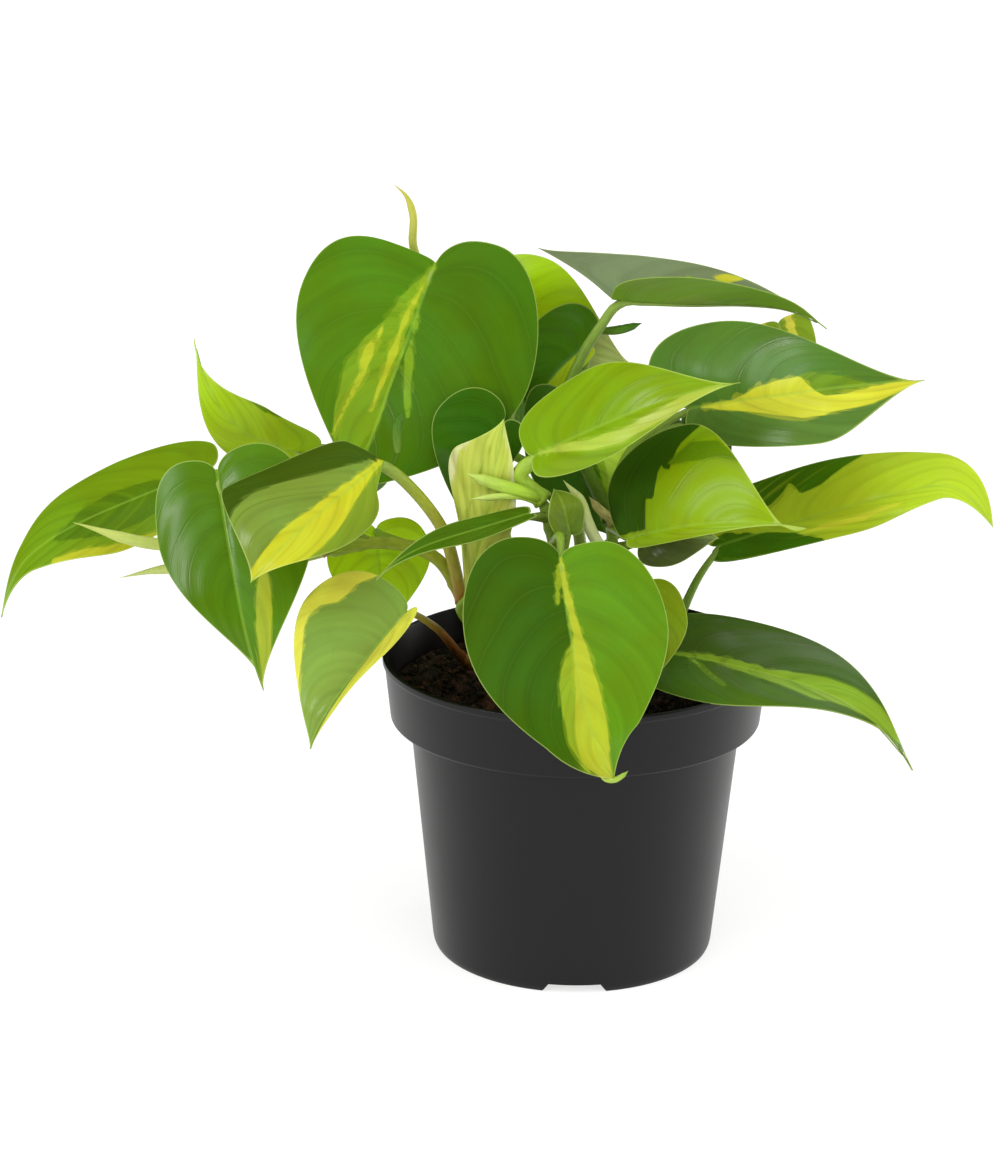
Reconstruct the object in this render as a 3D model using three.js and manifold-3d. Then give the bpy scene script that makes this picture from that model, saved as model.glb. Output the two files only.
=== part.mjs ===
// A potted heart-leaf philodendron with streaked leaves, in a plastic nursery pot.
// Millimetres, +Z up. The origin is the centre of the pot's foot, and the photograph looks along +Y.
import * as THREE from "three";
import { mergeVertices } from "three/addons/utils/BufferGeometryUtils.js";
import Module from "manifold-3d";

const wasm = await Module();
wasm.setup();

// ---------------------------------------------------------------- driving dimensions

const POT_HEIGHT = 95;
const RIM_RADIUS = 60;
const COLLAR_HEIGHT = 20;
const COLLAR_FOOT_RADIUS = 57.5;
const COLLAR_STEP = POT_HEIGHT - COLLAR_HEIGHT;
const BODY_TOP_RADIUS = 51.5;
const BODY_FOOT_RADIUS = 44;
const POT_WALL = 1.4;
const LIP_ROUND = 0.5;
const FOOT_ROUND = 2;
const FOOT_RING = 3;
const BASE_RAISE = 3;
const PAD_RADIUS = 8;
const POT_SIDES = 36;
const FOOT_NOTCHES = 3;
const NOTCH_WIDTH = 16;
const NOTCH_SPREAD = 2.6;
const NOTCH_HEIGHT = 2.8;
const DRAIN_HOLES = 8;
const DRAIN_RADIUS = 4;
const DRAIN_CIRCLE = 31;

const SOIL_TOP = 84;
const SOIL_RELIEF = 1.4;
const SOIL_RINGS = [0.84, 0.68, 0.52, 0.36, 0.2];

const CLEARANCE = 0.35;
const STEM_SIDES = 7;
const STEM_STEPS = 8;
const STALK_SIDES = 5;
const STALK_STEPS = 6;
const STEM_TAPER = 0.25;
const STALK_ROOT_RADIUS = 1.6;
const STALK_TIP_RADIUS = 1.1;
const BRACT_RADIUS = 1.4;
const BLADE_THICKNESS = 0.8;
const BLADE_ROWS = 10;
const BLADE_COLUMNS = [0.5, 1];
const VEIN_CROWDING = 1.6;

// ---------------------------------------------------------------- stems, by hand from the photograph
// radius: at the foot. path: points that the stem grows through, from inside the soil to its top.

const STEMS = {
  stem_front: {
    radius: 2.4, path: [[0, -2, 46], [0, -8, 84], [-3, -16, 115], [-8, -20, 138], [-11, -20, 150]],
  },
  stem_left: {
    radius: 2.5,
    path: [[-20, -8, 46], [-21, -9, 84], [-32, -16, 110], [-43, -15, 130], [-60, -12, 134], [-76, -13, 131]],
  },
  stem_low: { radius: 2.2, path: [[-31, 18, 46], [-33, 16, 84], [-36, 6, 92]] },
  stem_middle: {
    radius: 2.4,
    path: [[-12, 14, 46], [-14, 13, 84], [-20, 11, 118], [-27, 12, 150], [-35, 18, 178], [-40, 23, 196]],
  },
  stem_right: { radius: 2.4, path: [[14, 8, 46], [14, 7, 84], [12, 0, 115], [10, -4, 139]] },
  stem_edge: { radius: 2.2, path: [[26, 14, 46], [27, 13, 84], [30, 10, 97]] },
  stem_back: {
    radius: 2.4, path: [[4, 32, 46], [4, 33, 84], [2, 38, 118], [-4, 46, 150], [-8, 51, 176]],
  },
};

// ---------------------------------------------------------------- leaves, by hand from the photograph
// A pair of values is for the two halves [right, left], seen from the stalk to the tip, upper side up.
// stem, at: the stem that carries the leaf, and where along it. via: points that the stalk passes.
// stalk: the stalk's radius at the stem and at the blade.
// bract, bractRadius: a rolled bract at the blade's foot, or a curl at its tip.
// base: where the stalk meets the blade. tip: the drip tip. face: the way the upper side looks.
// half: the width of each half. lobe: how far it reaches back past the stalk, as a share of the length, or
// below 0 how long its narrow foot is. pointed: whether the lobe ends in a corner.
// belly, shoulder, taper: where it is widest, how full it is before that, and how full it ends (heartEdge).
// fold, curl: how far it lifts at the midrib, and how far it bends on towards its edge, in degrees.
// arch, hook, sway: how far the midrib bows towards the face, before the tip, and sideways.
// drip: how far the last of the tip bends out of line.
// wave, waves: how far the edge waves up and down, and how often.

const LEAVES = {
  leaf_front_heart: {
    stem: "stem_front", at: 0.87, via: [[-6, -31, 142]], base: [-6, -42, 139], tip: [7, -70, 79],
    face: [0.05, -1, 0.5], half: [31, 29], lobe: [0.1, 0.06], sway: 2, fold: 10, curl: -25,
    belly: [0.3, 0.34], taper: [0.42, 0.42], drip: [3, 0, 1],
    bract: [[5.6, -69.4, 82], [7.4, -70, 80], [10, -70.2, 79.8], [12.4, -70.6, 81.4], [14, -71, 83]],
    bractRadius: 0.9, colour: 0x4a8a08,
  },
  leaf_front_narrow: {
    stem: "stem_front", at: 0.95, via: [], base: [-15, -27, 148], tip: [-60, -47, 133],
    face: [0, -0.4, 1], half: [5, 6], lobe: 0.02, belly: 0.4, fold: 25, curl: -20, arch: 2,
    colour: 0x3c7a10,
  },
  leaf_centre_lime: {
    stem: "stem_front", at: 1, via: [[-18, -21, 158]], stalk: [2.7, 2.3], base: [-14, -25, 165],
    tip: [45, -46, 193], face: [-0.15, -1, 0.7], half: [10, 18.5], lobe: [0.02, 0.05],
    belly: [0.3, 0.36], taper: [0.1, 0], fold: [14, 10], curl: [-50, -20], colour: 0x86b80a,
  },
  leaf_cream: {
    stem: "stem_left", at: 0.5, via: [[-36, -20, 116]], base: [-34, -22, 118], tip: [-23, -20, 175],
    face: [0.1, -1, 0.1], half: [9, 14], lobe: [-0.05, -0.36], belly: [0.45, 0.76], shoulder: [0.3, 0.1],
    fold: 5, curl: -10, wave: 1.3, waves: 4, taper: [0.4, 0.3], arch: 2, hook: 1, colour: 0xc8d25a,
  },
  leaf_small_dark: {
    stem: "stem_middle", at: 0.6, via: [[-26, 3, 164]], base: [-23, -9, 171], tip: [-38, -12, 148],
    face: [0, -1, 0.2], half: [19, 9], lobe: [0.2, 0.1], taper: 0.4, arch: 2, hook: 1, colour: 0x3a7a10,
  },
  leaf_top_heart: {
    stem: "stem_middle", at: 0.9, via: [[-40, 21, 208]], base: [-44, 14, 215], tip: [-68, -8, 150],
    face: [-0.15, -1, 0.3], half: [37, 40], lobe: [0.02, 0.15], fold: 10, curl: -25, belly: [0.26, 0.36],
    taper: [0.3, 0.6], arch: 1, hook: 1, colour: 0x4f8f05,
  },
  leaf_left_streaked: {
    stem: "stem_left", at: 0.6, via: [[-42, -22, 143]], stalk: [2, 1.8], base: [-58, -35, 166],
    tip: [-96, -57, 135], face: [-0.1, -1, 0.5], half: [28, 13], lobe: [-0.08, -0.15],
    belly: [0.76, 0.4], shoulder: [0, 0.22], fold: [10, 20], curl: [-50, -60],
    bract: [[-54, -33, 168], [-54, -34, 176], [-53, -34, 181]], colour: 0x8a9a3a,
  },
  leaf_left_heart: {
    stem: "stem_left", at: 1, via: [[-92, -14, 142]], base: [-108, -25, 159], tip: [-94, -40, 96],
    face: [-0.2, -1, 0.3], half: [22, 27], lobe: [0.08, 0.1], fold: 10, curl: -25, belly: 0.24,
    taper: [-0.25, 0.1], colour: 0x3f8208,
  },
  leaf_low_left: {
    stem: "stem_low", at: 1, via: [[-44, -25, 112]], base: [-51, -45, 123], tip: [-79, -60, 85],
    face: [-0.4, -1, 0.4], half: [27, 12], lobe: [0.08, 0.02], fold: [10, 65], curl: [-20, -20],
    colour: 0xa8b03a,
  },
  leaf_behind_stalks: {
    stem: "stem_left", at: 0.8, via: [[-60, -4, 134]], base: [-62, 2, 134], tip: [-58, -4, 104],
    face: [0, -1, 0.3], half: 16, lobe: 0.1, colour: 0x8ab020,
  },
  leaf_far_left: {
    stem: "stem_left", at: 0.95, via: [[-96, -2, 146]], base: [-114, 7, 151], tip: [-177, -5, 113],
    face: [-0.3, -0.5, 0.9], half: [20, 15], lobe: 0.08, belly: [0.3, 0.4], fold: [12, -8], arch: 5.5,
    hook: 5, wave: 0.6, drip: [0, 0, -6], colour: 0x6aa010,
  },
  leaf_upper_left: {
    stem: "stem_left", at: 0.9, via: [[-80, 6, 142]], base: [-86, 17, 154], tip: [-117, 6, 193],
    face: [-0.3, -1, 0.5], half: [10, 9], lobe: 0.12, fold: [8, 10], belly: [0.34, 0.3],
    taper: [-0.3, 0], sway: -8, colour: 0x98c010,
  },
  leaf_middle_right: {
    stem: "stem_right", at: 0.98, via: [], base: [14, -20, 138], tip: [66, -44, 149],
    face: [-0.1, -1, 0.5], half: [4, 31], lobe: [0, 0.08], belly: [0.26, 0.4], taper: [0, -0.3],
    sway: -2, fold: [20, 10], curl: [-60, -20], colour: 0x8ab010,
  },
  leaf_upper_right: {
    stem: "stem_right", at: 1, via: [[15, 4, 158]], base: [33, -5, 175], tip: [101, -25, 189],
    face: [0, -1, 0.4], half: [16, 25], lobe: [0.02, 0.18], belly: [0.55, 0.14], taper: [0.16, -0.05],
    wave: 0.8, colour: 0x6f9a20,
  },
  leaf_top_right: {
    stem: "stem_right", at: 1, via: [[-4, 7, 171], [0, 8, 186], [6.5, 9, 197]], base: [10, 10, 205],
    tip: [76, 20, 194], face: [0, -0.1, 1], half: [18, 20], lobe: [0.02, 0.33], pointed: [false, true],
    belly: [0.26, 0.12], taper: [0.16, 0], fold: [50, 42], curl: [-10, -20], arch: 1, hook: 4,
    stalk: [2.4, 1.6], bract: [[5, 14, 194], [12, 12, 195], [19, 13, 197]], colour: 0x4f8a30,
  },
  leaf_right_long: {
    stem: "stem_edge", at: 1, via: [[39, 16, 116]], base: [44, 20, 124], tip: [127, -8, 155],
    face: [0, -1, 0.8], half: [9, 17.5], lobe: [0.02, 0.05], belly: [0.45, 0.12], taper: [0.5, 0.95],
    wave: 1, drip: [-1, 0, -16], colour: 0x9ab820,
  },
  leaf_low_right: {
    stem: "stem_edge", at: 0.9, via: [], base: [24, -15, 101], tip: [100, -45, 74],
    face: [0.2, -0.35, 1], half: [22, 27], lobe: [0.03, 0.1], belly: [0.27, 0.28], taper: [-0.3, 0.1],
    arch: 8, hook: 6, colour: 0x4a8a14,
  },
  leaf_behind_front: {
    stem: "stem_right", at: 0.85, via: [], base: [18, -25, 124], tip: [19, -38, 95],
    face: [0.2, -1, 0.4], half: [16, 14], lobe: 0.1, colour: 0x9ab828,
  },
  leaf_under_right: {
    stem: "stem_right", at: 0.9, via: [], base: [20, -8, 134], tip: [43, -8, 135], face: [0, -1, 0.4],
    half: [8.5, 8], lobe: 0.1, colour: 0x50684a,
  },
  leaf_new_folded: {
    stem: "stem_front", at: 0.8, via: [], base: [-3, -24, 141], tip: [-8, -22, 154], face: [0.4, -1, 0],
    half: [6, 6], lobe: 0.1, belly: 0.5, taper: 0.5, fold: 25, arch: 2, hook: 2, colour: 0x6f9430,
  },
  leaf_behind_top: {
    stem: "stem_right", at: 1, via: [[30, 16, 156], [52, 34, 176]], base: [62, 30, 193.5],
    tip: [70, 24, 168], face: [0, -1, 0.1], half: [10, 10], lobe: 0.05, belly: 0.15, taper: 0.3,
    colour: 0x9ab020,
  },
  leaf_behind_lime: {
    stem: "stem_back", at: 0.99, via: [[-24, 52, 190]], base: [-28, 42, 192], tip: [16, 38, 179],
    face: [0.1, -1, 0], half: [19, 24], lobe: 0.1, colour: 0xa0c018,
  },
  leaf_behind_dark: {
    stem: "stem_back", at: 0.78, via: [[-3, 36, 164], [0, 29, 171]], base: [4, 27, 187],
    tip: [-16, 26, 161], face: [0, -1, 0.1], half: [16, 5], lobe: [0.18, 0], belly: [0.18, 0.45],
    taper: [0, 0.3], fold: 4, curl: -10, sway: 3, arch: 1, hook: 1, colour: 0x2f6a10,
  },
  leaf_inner_dark: {
    stem: "stem_back", at: 0.6, via: [[-3, 28, 151]], base: [-4, 18, 172], tip: [9, 10, 131],
    face: [0, -1, 0.1], half: [17, 20], lobe: 0.15, belly: 0.4, taper: [0.5, 0.85], colour: 0x2a5a10,
  },
  leaf_back_high: {
    stem: "stem_back", at: 0.93, via: [], base: [-14, 64, 178], tip: [-22, 90, 128],
    face: [-0.1, 1, 0.5], half: 22, colour: 0x4a8a12,
  },
  leaf_back_left: {
    stem: "stem_back", at: 0.7, via: [[-36, 44, 152]], base: [-74, 40, 146], tip: [-100, 60, 110],
    face: [-0.3, 1, 0.6], half: [22, 18], colour: 0x5a9a10,
  },
  leaf_back_right: {
    stem: "stem_back", at: 0.6, via: [[16, 36, 150]], base: [33, 38, 160], tip: [38, 60, 118],
    face: [0.2, 1, 0.5], half: 15, colour: 0x4a8a12,
  },
  leaf_back_low: {
    stem: "stem_back", at: 0.35, via: [[-3, 50, 103]], base: [-4, 62, 106], tip: [-8, 92, 58],
    face: [0, 1, 0.6], half: 21, colour: 0x6aa012,
  },
  leaf_back_side: {
    stem: "stem_back", at: 0.5, via: [[26, 42, 130]], base: [52, 38, 132], tip: [88, 64, 126],
    face: [0, 0.2, 1], half: 16, colour: 0x86b018,
  },
};

// ------------------------------------------------------- rolled leaves, by hand from the photograph

const SPEARS = {
  spear_top: {
    stem: "stem_middle", at: 0.99, radius: 1.35,
    path: [[-47, 25, 208], [-51, 25, 218], [-51, 25, 227], [-53, 25, 233], [-57, 25, 237]],
  },
  spear_crown_upper: {
    stem: "stem_front", at: 1, radius: 2, path: [[-17, -25, 154], [-26, -26, 157], [-34, -27, 160]],
  },
  spear_crown_lower: {
    stem: "stem_front", at: 0.98, radius: 1.1, path: [[-18, -25, 152.6], [-33, -30, 153]],
  },
  spear_sheath: {
    stem: "stem_right", at: 0.97, radius: 1.5, path: [[9.6, -8.6, 141], [6, -11, 145], [3, -12, 149]],
  },
  spear_pale: {
    stem: "stem_right", at: 0.9, radius: 2,
    path: [[6, -14, 135], [2.5, -19, 143], [0, -19, 150], [-5, -19, 156]],
  },
  spear_left_upper: {
    stem: "stem_left", at: 1, radius: 2, path: [[-100, -9, 132], [-130, -14, 134], [-152, -20, 142]],
  },
  spear_left_lower: {
    stem: "stem_left", at: 0.95, radius: 1.8, path: [[-100, -6, 124], [-126, -5, 123], [-140, -8, 121]],
  },
};

// ---------------------------------------------------------------- shared shape functions

function vector(triple) {
  return new THREE.Vector3(...triple);
}

function curveThrough(points) {
  return new THREE.CatmullRomCurve3(points.map(vector), false, "centripetal");
}

// A closed solid for manifold-3d from any closed three.js geometry.
function solidFrom(geometry) {
  const bare = new THREE.BufferGeometry();
  const flat = geometry.index ? geometry.toNonIndexed() : geometry;
  bare.setAttribute("position", flat.getAttribute("position"));
  const merged = mergeVertices(bare, 1e-3);
  const corners = [];
  for (let i = 0; i < merged.index.count; i += 3) {
    const [a, b, c] = [0, 1, 2].map((k) => merged.index.getX(i + k));
    if (a !== b && b !== c && c !== a) corners.push(a, b, c);
  }
  return new wasm.Manifold(
    new wasm.Mesh({
      numProp: 3,
      vertProperties: new Float32Array(merged.getAttribute("position").array),
      triVerts: new Uint32Array(corners),
    }),
  );
}

function geometryFrom(solid) {
  const mesh = solid.getMesh();
  const positions = new Float32Array(mesh.numVert * 3);
  for (let i = 0; i < mesh.numVert; i++) {
    positions.set(mesh.vertProperties.subarray(i * mesh.numProp, i * mesh.numProp + 3), i * 3);
  }
  const geometry = new THREE.BufferGeometry();
  geometry.setAttribute("position", new THREE.BufferAttribute(positions, 3));
  geometry.setIndex(new THREE.BufferAttribute(mesh.triVerts, 1));
  geometry.computeVertexNormals();
  return geometry;
}

function cutBack(solid, neighbours) {
  return neighbours.reduce((rest, neighbour) => rest.subtract(neighbour), solid);
}

function largestPiece(solid) {
  return solid.decompose().reduce((best, piece) => (piece.volume() > best.volume() ? piece : best));
}

// A closed round stalk along a curve. radiusAt gives its radius for u from 0 to 1.
function stalkGeometry(curve, radiusAt, sides, steps) {
  const frames = curve.computeFrenetFrames(steps, false);
  const positions = [];
  const index = [];
  const rings = steps + 1;
  for (let i = 0; i < rings; i++) {
    const centre = curve.getPointAt(i / steps);
    const radius = radiusAt(i / steps);
    for (let k = 0; k < sides; k++) {
      const turn = (2 * Math.PI * k) / sides;
      const point = centre
        .clone()
        .addScaledVector(frames.normals[i], radius * Math.cos(turn))
        .addScaledVector(frames.binormals[i], radius * Math.sin(turn));
      positions.push(point.x, point.y, point.z);
    }
  }
  for (let i = 0; i < steps; i++) {
    for (let k = 0; k < sides; k++) {
      const a = i * sides + k;
      const b = i * sides + ((k + 1) % sides);
      index.push(a, b, b + sides, a, b + sides, a + sides);
    }
  }
  for (let k = 1; k < sides - 1; k++) {
    index.push(0, k + 1, k);
    const last = steps * sides;
    index.push(last, last + k, last + k + 1);
  }
  const geometry = new THREE.BufferGeometry();
  geometry.setAttribute("position", new THREE.Float32BufferAttribute(positions, 3));
  geometry.setIndex(index);
  return geometry;
}

// ---------------------------------------------------------------- pot

// The pot's wall and raised base as a closed outline of [radius, height].
function potOutline() {
  return [
    [0, 0],
    [PAD_RADIUS, 0],
    [PAD_RADIUS + 1, BASE_RAISE],
    [BODY_FOOT_RADIUS - FOOT_RING - 1, BASE_RAISE],
    [BODY_FOOT_RADIUS - FOOT_RING, 0],
    [BODY_FOOT_RADIUS - FOOT_ROUND / 2, 0],
    [BODY_FOOT_RADIUS, FOOT_ROUND],
    [BODY_TOP_RADIUS, COLLAR_STEP - LIP_ROUND],
    [COLLAR_FOOT_RADIUS - LIP_ROUND, COLLAR_STEP],
    [COLLAR_FOOT_RADIUS, COLLAR_STEP + LIP_ROUND],
    [RIM_RADIUS, POT_HEIGHT - LIP_ROUND],
    [RIM_RADIUS - LIP_ROUND, POT_HEIGHT],
    [RIM_RADIUS - POT_WALL, POT_HEIGHT],
    [COLLAR_FOOT_RADIUS - POT_WALL, COLLAR_STEP + POT_WALL],
    [BODY_TOP_RADIUS - POT_WALL, COLLAR_STEP + 1],
    [BODY_FOOT_RADIUS - POT_WALL, BASE_RAISE + POT_WALL],
    [0, BASE_RAISE + POT_WALL],
  ];
}

function lathe(outline) {
  const points = outline.map(([radius, height]) => new THREE.Vector2(radius, height));
  return new THREE.LatheGeometry(points, POT_SIDES).rotateX(Math.PI / 2);
}

// One wedge-sided notch through the foot ring, to let water run out from under the pot.
function footNotch(angle) {
  const half = NOTCH_WIDTH / 2;
  const shape = new THREE.Shape([
    new THREE.Vector2(-half - NOTCH_SPREAD, -1),
    new THREE.Vector2(half + NOTCH_SPREAD, -1),
    new THREE.Vector2(half, NOTCH_HEIGHT),
    new THREE.Vector2(-half, NOTCH_HEIGHT),
  ]);
  return new THREE.ExtrudeGeometry(shape, { depth: 14, bevelEnabled: false })
    .rotateX(Math.PI / 2)
    .translate(0, -BODY_FOOT_RADIUS + 8, 0)
    .rotateZ(angle);
}

function potSolid() {
  let pot = solidFrom(lathe(potOutline()));
  for (let i = 0; i < FOOT_NOTCHES; i++) {
    pot = pot.subtract(solidFrom(footNotch((2 * Math.PI * i) / FOOT_NOTCHES)));
  }
  for (let i = 0; i < DRAIN_HOLES; i++) {
    const turn = (2 * Math.PI * (i + 0.5)) / DRAIN_HOLES;
    const hole = new THREE.CylinderGeometry(DRAIN_RADIUS, DRAIN_RADIUS, 6, 10)
      .rotateX(Math.PI / 2)
      .translate(DRAIN_CIRCLE * Math.cos(turn), DRAIN_CIRCLE * Math.sin(turn), BASE_RAISE + 1);
    pot = pot.subtract(solidFrom(hole));
  }
  return pot;
}

// ---------------------------------------------------------------- soil

// Low lumps on the soil's top, as a sum of crossing waves.
function soilRelief(x, y) {
  const broad = Math.sin(0.31 * x + 0.8) * Math.cos(0.27 * y - 0.4);
  return SOIL_RELIEF * (broad + 0.5 * Math.sin(0.52 * (x - y)));
}

// The soil fills the pot's inside, a clearance off its wall, and only its edge ring keeps level.
function soilSolid(stems) {
  const foot = BASE_RAISE + POT_WALL + CLEARANCE;
  const wall = POT_WALL + CLEARANCE;
  const slope = (RIM_RADIUS - COLLAR_FOOT_RADIUS) / (COLLAR_HEIGHT - POT_WALL);
  const edge = COLLAR_FOOT_RADIUS - wall + slope * (SOIL_TOP - COLLAR_STEP - POT_WALL);
  const outline = [
    [0, foot],
    [BODY_FOOT_RADIUS - wall, foot],
    [BODY_TOP_RADIUS - wall, COLLAR_STEP + 1 + CLEARANCE],
    [COLLAR_FOOT_RADIUS - wall, COLLAR_STEP + POT_WALL + CLEARANCE],
    [edge, SOIL_TOP],
    ...SOIL_RINGS.map((share) => [edge * share, SOIL_TOP]),
    [0, SOIL_TOP],
  ];
  const geometry = lathe(outline);
  const position = geometry.getAttribute("position");
  for (let i = 0; i < position.count; i++) {
    const [x, y, z] = [position.getX(i), position.getY(i), position.getZ(i)];
    const inside = Math.hypot(x, y) < edge * 0.95;
    if (inside && Math.abs(z - SOIL_TOP) < 0.01) position.setZ(i, z + soilRelief(x, y));
  }
  let soil = solidFrom(geometry);
  for (const stem of Object.values(stems)) {
    soil = soil.subtract(stem.sleeve);
  }
  return soil;
}

// ---------------------------------------------------------------- stems

function buildStems() {
  const stems = {};
  for (const [name, { radius, path }] of Object.entries(STEMS)) {
    const curve = curveThrough(path);
    const taper = (u) => radius * (1 - STEM_TAPER * u);
    const tube = (extra) => solidFrom(stalkGeometry(curve, (u) => taper(u) + extra, STEM_SIDES, STEM_STEPS));
    stems[name] = { curve, solid: tube(0), sleeve: tube(CLEARANCE) };
  }
  return stems;
}

// ---------------------------------------------------------------- blades

// A leaf's own value for one half, given as [right, left] or as one number for both.
function halfValue(value, hand) {
  return Array.isArray(value) ? value[hand > 0 ? 0 : 1] : value;
}

function cubic(p0, p1, p2, p3, u) {
  const v = 1 - u;
  const mix = (k) => v * v * v * p0[k] + 3 * v * v * u * p1[k] + 3 * v * u * u * p2[k] + u * u * u * p3[k];
  return [mix(0), mix(1)];
}

// The back of one half of a heart leaf: the first two of the three cubic curves of its edge.
function backCurves({ lobe, belly, shoulder, pointed }) {
  if (pointed) {
    return [
      [[0, 0], [-0.2 * lobe, 0.3], [-0.55 * lobe, 0.55], [-lobe, 0.95]],
      [[-lobe, 0.95], [-0.75 * lobe, 0.82], [-0.3 * lobe, 0.95], [belly, 1]],
    ];
  }
  if (lobe < 0) {
    return [
      [[0, 0], [-0.33 * lobe, 0.14], [-0.67 * lobe, 0.28], [-lobe, 0.42]],
      [[-lobe, 0.42], [-1.35 * lobe, 0.57], [belly - shoulder, 1], [belly, 1]],
    ];
  }
  return [
    [[0, 0], [-0.5 * lobe, 0.02], [-lobe, 0.14], [-lobe, 0.42]],
    [[-lobe, 0.42], [-lobe, 0.76], [belly - shoulder, 1], [belly, 1]],
  ];
}

// The edge of one half of a heart leaf, from the notch at the stalk round the lobe to the tip.
// It gives [along, across]: along is 0 at the stalk and 1 at the tip, across is 1 at the widest.
function heartEdge(q, shape) {
  const lobeEnd = 0.2;
  const widest = 0.48;
  const { belly, taper } = shape;
  const [back, swell] = backCurves(shape);
  if (q < lobeEnd) return cubic(...back, q / lobeEnd);
  if (q < widest) return cubic(...swell, (q - lobeEnd) / (widest - lobeEnd));
  const run = [[belly, 1], [belly + 0.4 * (1 - belly), 1], [0.8 + 0.1 * belly, taper], [1, 0]];
  return cubic(...run, (q - widest) / (1 - widest));
}

function edgeShape(leaf, hand) {
  const shape = { lobe: 0.12, belly: 0.26, shoulder: 0.22, taper: 0.16, pointed: false, ...leaf };
  const keys = ["lobe", "belly", "shoulder", "taper", "pointed"];
  return Object.fromEntries(keys.map((key) => [key, halfValue(shape[key], hand)]));
}

// The midrib's frame: the points of a blade are placed from it.
function midribFrame(leaf) {
  const base = vector(leaf.base);
  const chord = vector(leaf.tip).sub(base);
  const length = chord.length();
  const forward = chord.clone().normalize();
  const up = vector(leaf.face);
  up.addScaledVector(forward, -up.dot(forward)).normalize();
  const side = forward.clone().cross(up);
  const bow = (s) => 4 * s * (1 - s);
  const late = (s) => 9.48 * s * s * s * (1 - s);
  const { arch = 4, hook = 3, sway = 0, drip = [0, 0, 0] } = leaf;
  const last = (s) => Math.max(0, (s - 0.8) / 0.2) ** 2;
  const on = (s) =>
    base
      .clone()
      .addScaledVector(forward, length * s)
      .addScaledVector(up, arch * bow(s) + hook * late(s))
      .addScaledVector(side, sway * bow(s))
      .addScaledVector(vector(drip), last(s));
  const slope = (s) => on(s + 0.01).sub(on(s - 0.01)).normalize();
  return { length, up, on, slope };
}

// The point of the blade's middle surface at [along, across], and the surface's normal there.
function bladePoint(leaf, frame, hand, along, across, q) {
  const start = Math.max(along, 0);
  const tangent = frame.slope(start);
  const centre = frame.on(start).addScaledVector(tangent, (along - start) * frame.length);
  const up = frame.up.clone().addScaledVector(tangent, -frame.up.dot(tangent)).normalize();
  const out = tangent.clone().cross(up).multiplyScalar(hand);
  const fold = THREE.MathUtils.degToRad(halfValue(leaf.fold ?? 12, hand));
  const curl = THREE.MathUtils.degToRad(halfValue(leaf.curl ?? -24, hand)) || 1e-6;
  const bend = curl * across;
  const radius = halfValue(leaf.half, hand) / curl;
  const sideways = radius * (Math.sin(fold + bend) - Math.sin(fold));
  const lift = radius * (Math.cos(fold) - Math.cos(fold + bend));
  const phase = 2 * Math.PI * (leaf.waves ?? 3) * q + (hand > 0 ? 0 : 1.7);
  const ripple = (leaf.wave ?? 0) * across * Math.sin(phase);
  const point = centre.addScaledVector(out, sideways).addScaledVector(up, lift + ripple);
  const normal = up
    .clone()
    .multiplyScalar(Math.cos(fold + bend))
    .addScaledVector(out, -Math.sin(fold + bend));
  return { point, normal: across > 0 ? normal : up };
}

// Both faces of a blade and the rim between them, split into triangles alike on both faces.
function bladeGeometry(leaf) {
  const frame = midribFrame(leaf);
  const positions = [];
  const index = [];
  const half = BLADE_THICKNESS / 2;
  const faces = { 1: new Map(), [-1]: new Map() };

  const place = (face, hand, row, column) => {
    const onRib = column < 0 || row === 0 || row === BLADE_ROWS;
    const key = onRib ? `rib ${row}` : `${hand} ${row} ${column}`;
    const known = faces[face].get(key);
    if (known !== undefined) return known;
    const q = row / BLADE_ROWS;
    const rib = Math.pow(q, VEIN_CROWDING);
    const edge = heartEdge(q, edgeShape(leaf, hand));
    const share = onRib ? 0 : BLADE_COLUMNS[column];
    const along = rib + (edge[0] - rib) * share;
    const across = edge[1] * share;
    const { point, normal } = bladePoint(leaf, frame, hand, along, across, q);
    point.addScaledVector(normal, face * half);
    positions.push(point.x, point.y, point.z);
    faces[face].set(key, positions.length / 3 - 1);
    return positions.length / 3 - 1;
  };
  const triangle = (a, b, c, flip) => {
    if (a !== b && b !== c && c !== a) index.push(...(flip ? [a, c, b] : [a, b, c]));
  };
  const last = BLADE_COLUMNS.length - 1;
  for (const hand of [1, -1]) {
    for (let row = 0; row < BLADE_ROWS; row++) {
      for (const face of [1, -1]) {
        for (let column = -1; column < last; column++) {
          const a = place(face, hand, row, column);
          const b = place(face, hand, row + 1, column);
          const c = place(face, hand, row + 1, column + 1);
          const d = place(face, hand, row, column + 1);
          const flip = hand * face > 0;
          triangle(a, b, c, flip);
          triangle(a, c, d, flip);
        }
      }
      const [a, b] = [row, row + 1].map((r) => place(1, hand, r, last));
      const [c, d] = [row, row + 1].map((r) => place(-1, hand, r, last));
      triangle(a, b, d, hand > 0);
      triangle(a, d, c, hand > 0);
    }
  }
  const geometry = new THREE.BufferGeometry();
  geometry.setAttribute("position", new THREE.Float32BufferAttribute(positions, 3));
  geometry.setIndex(index);
  return geometry;
}

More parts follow.
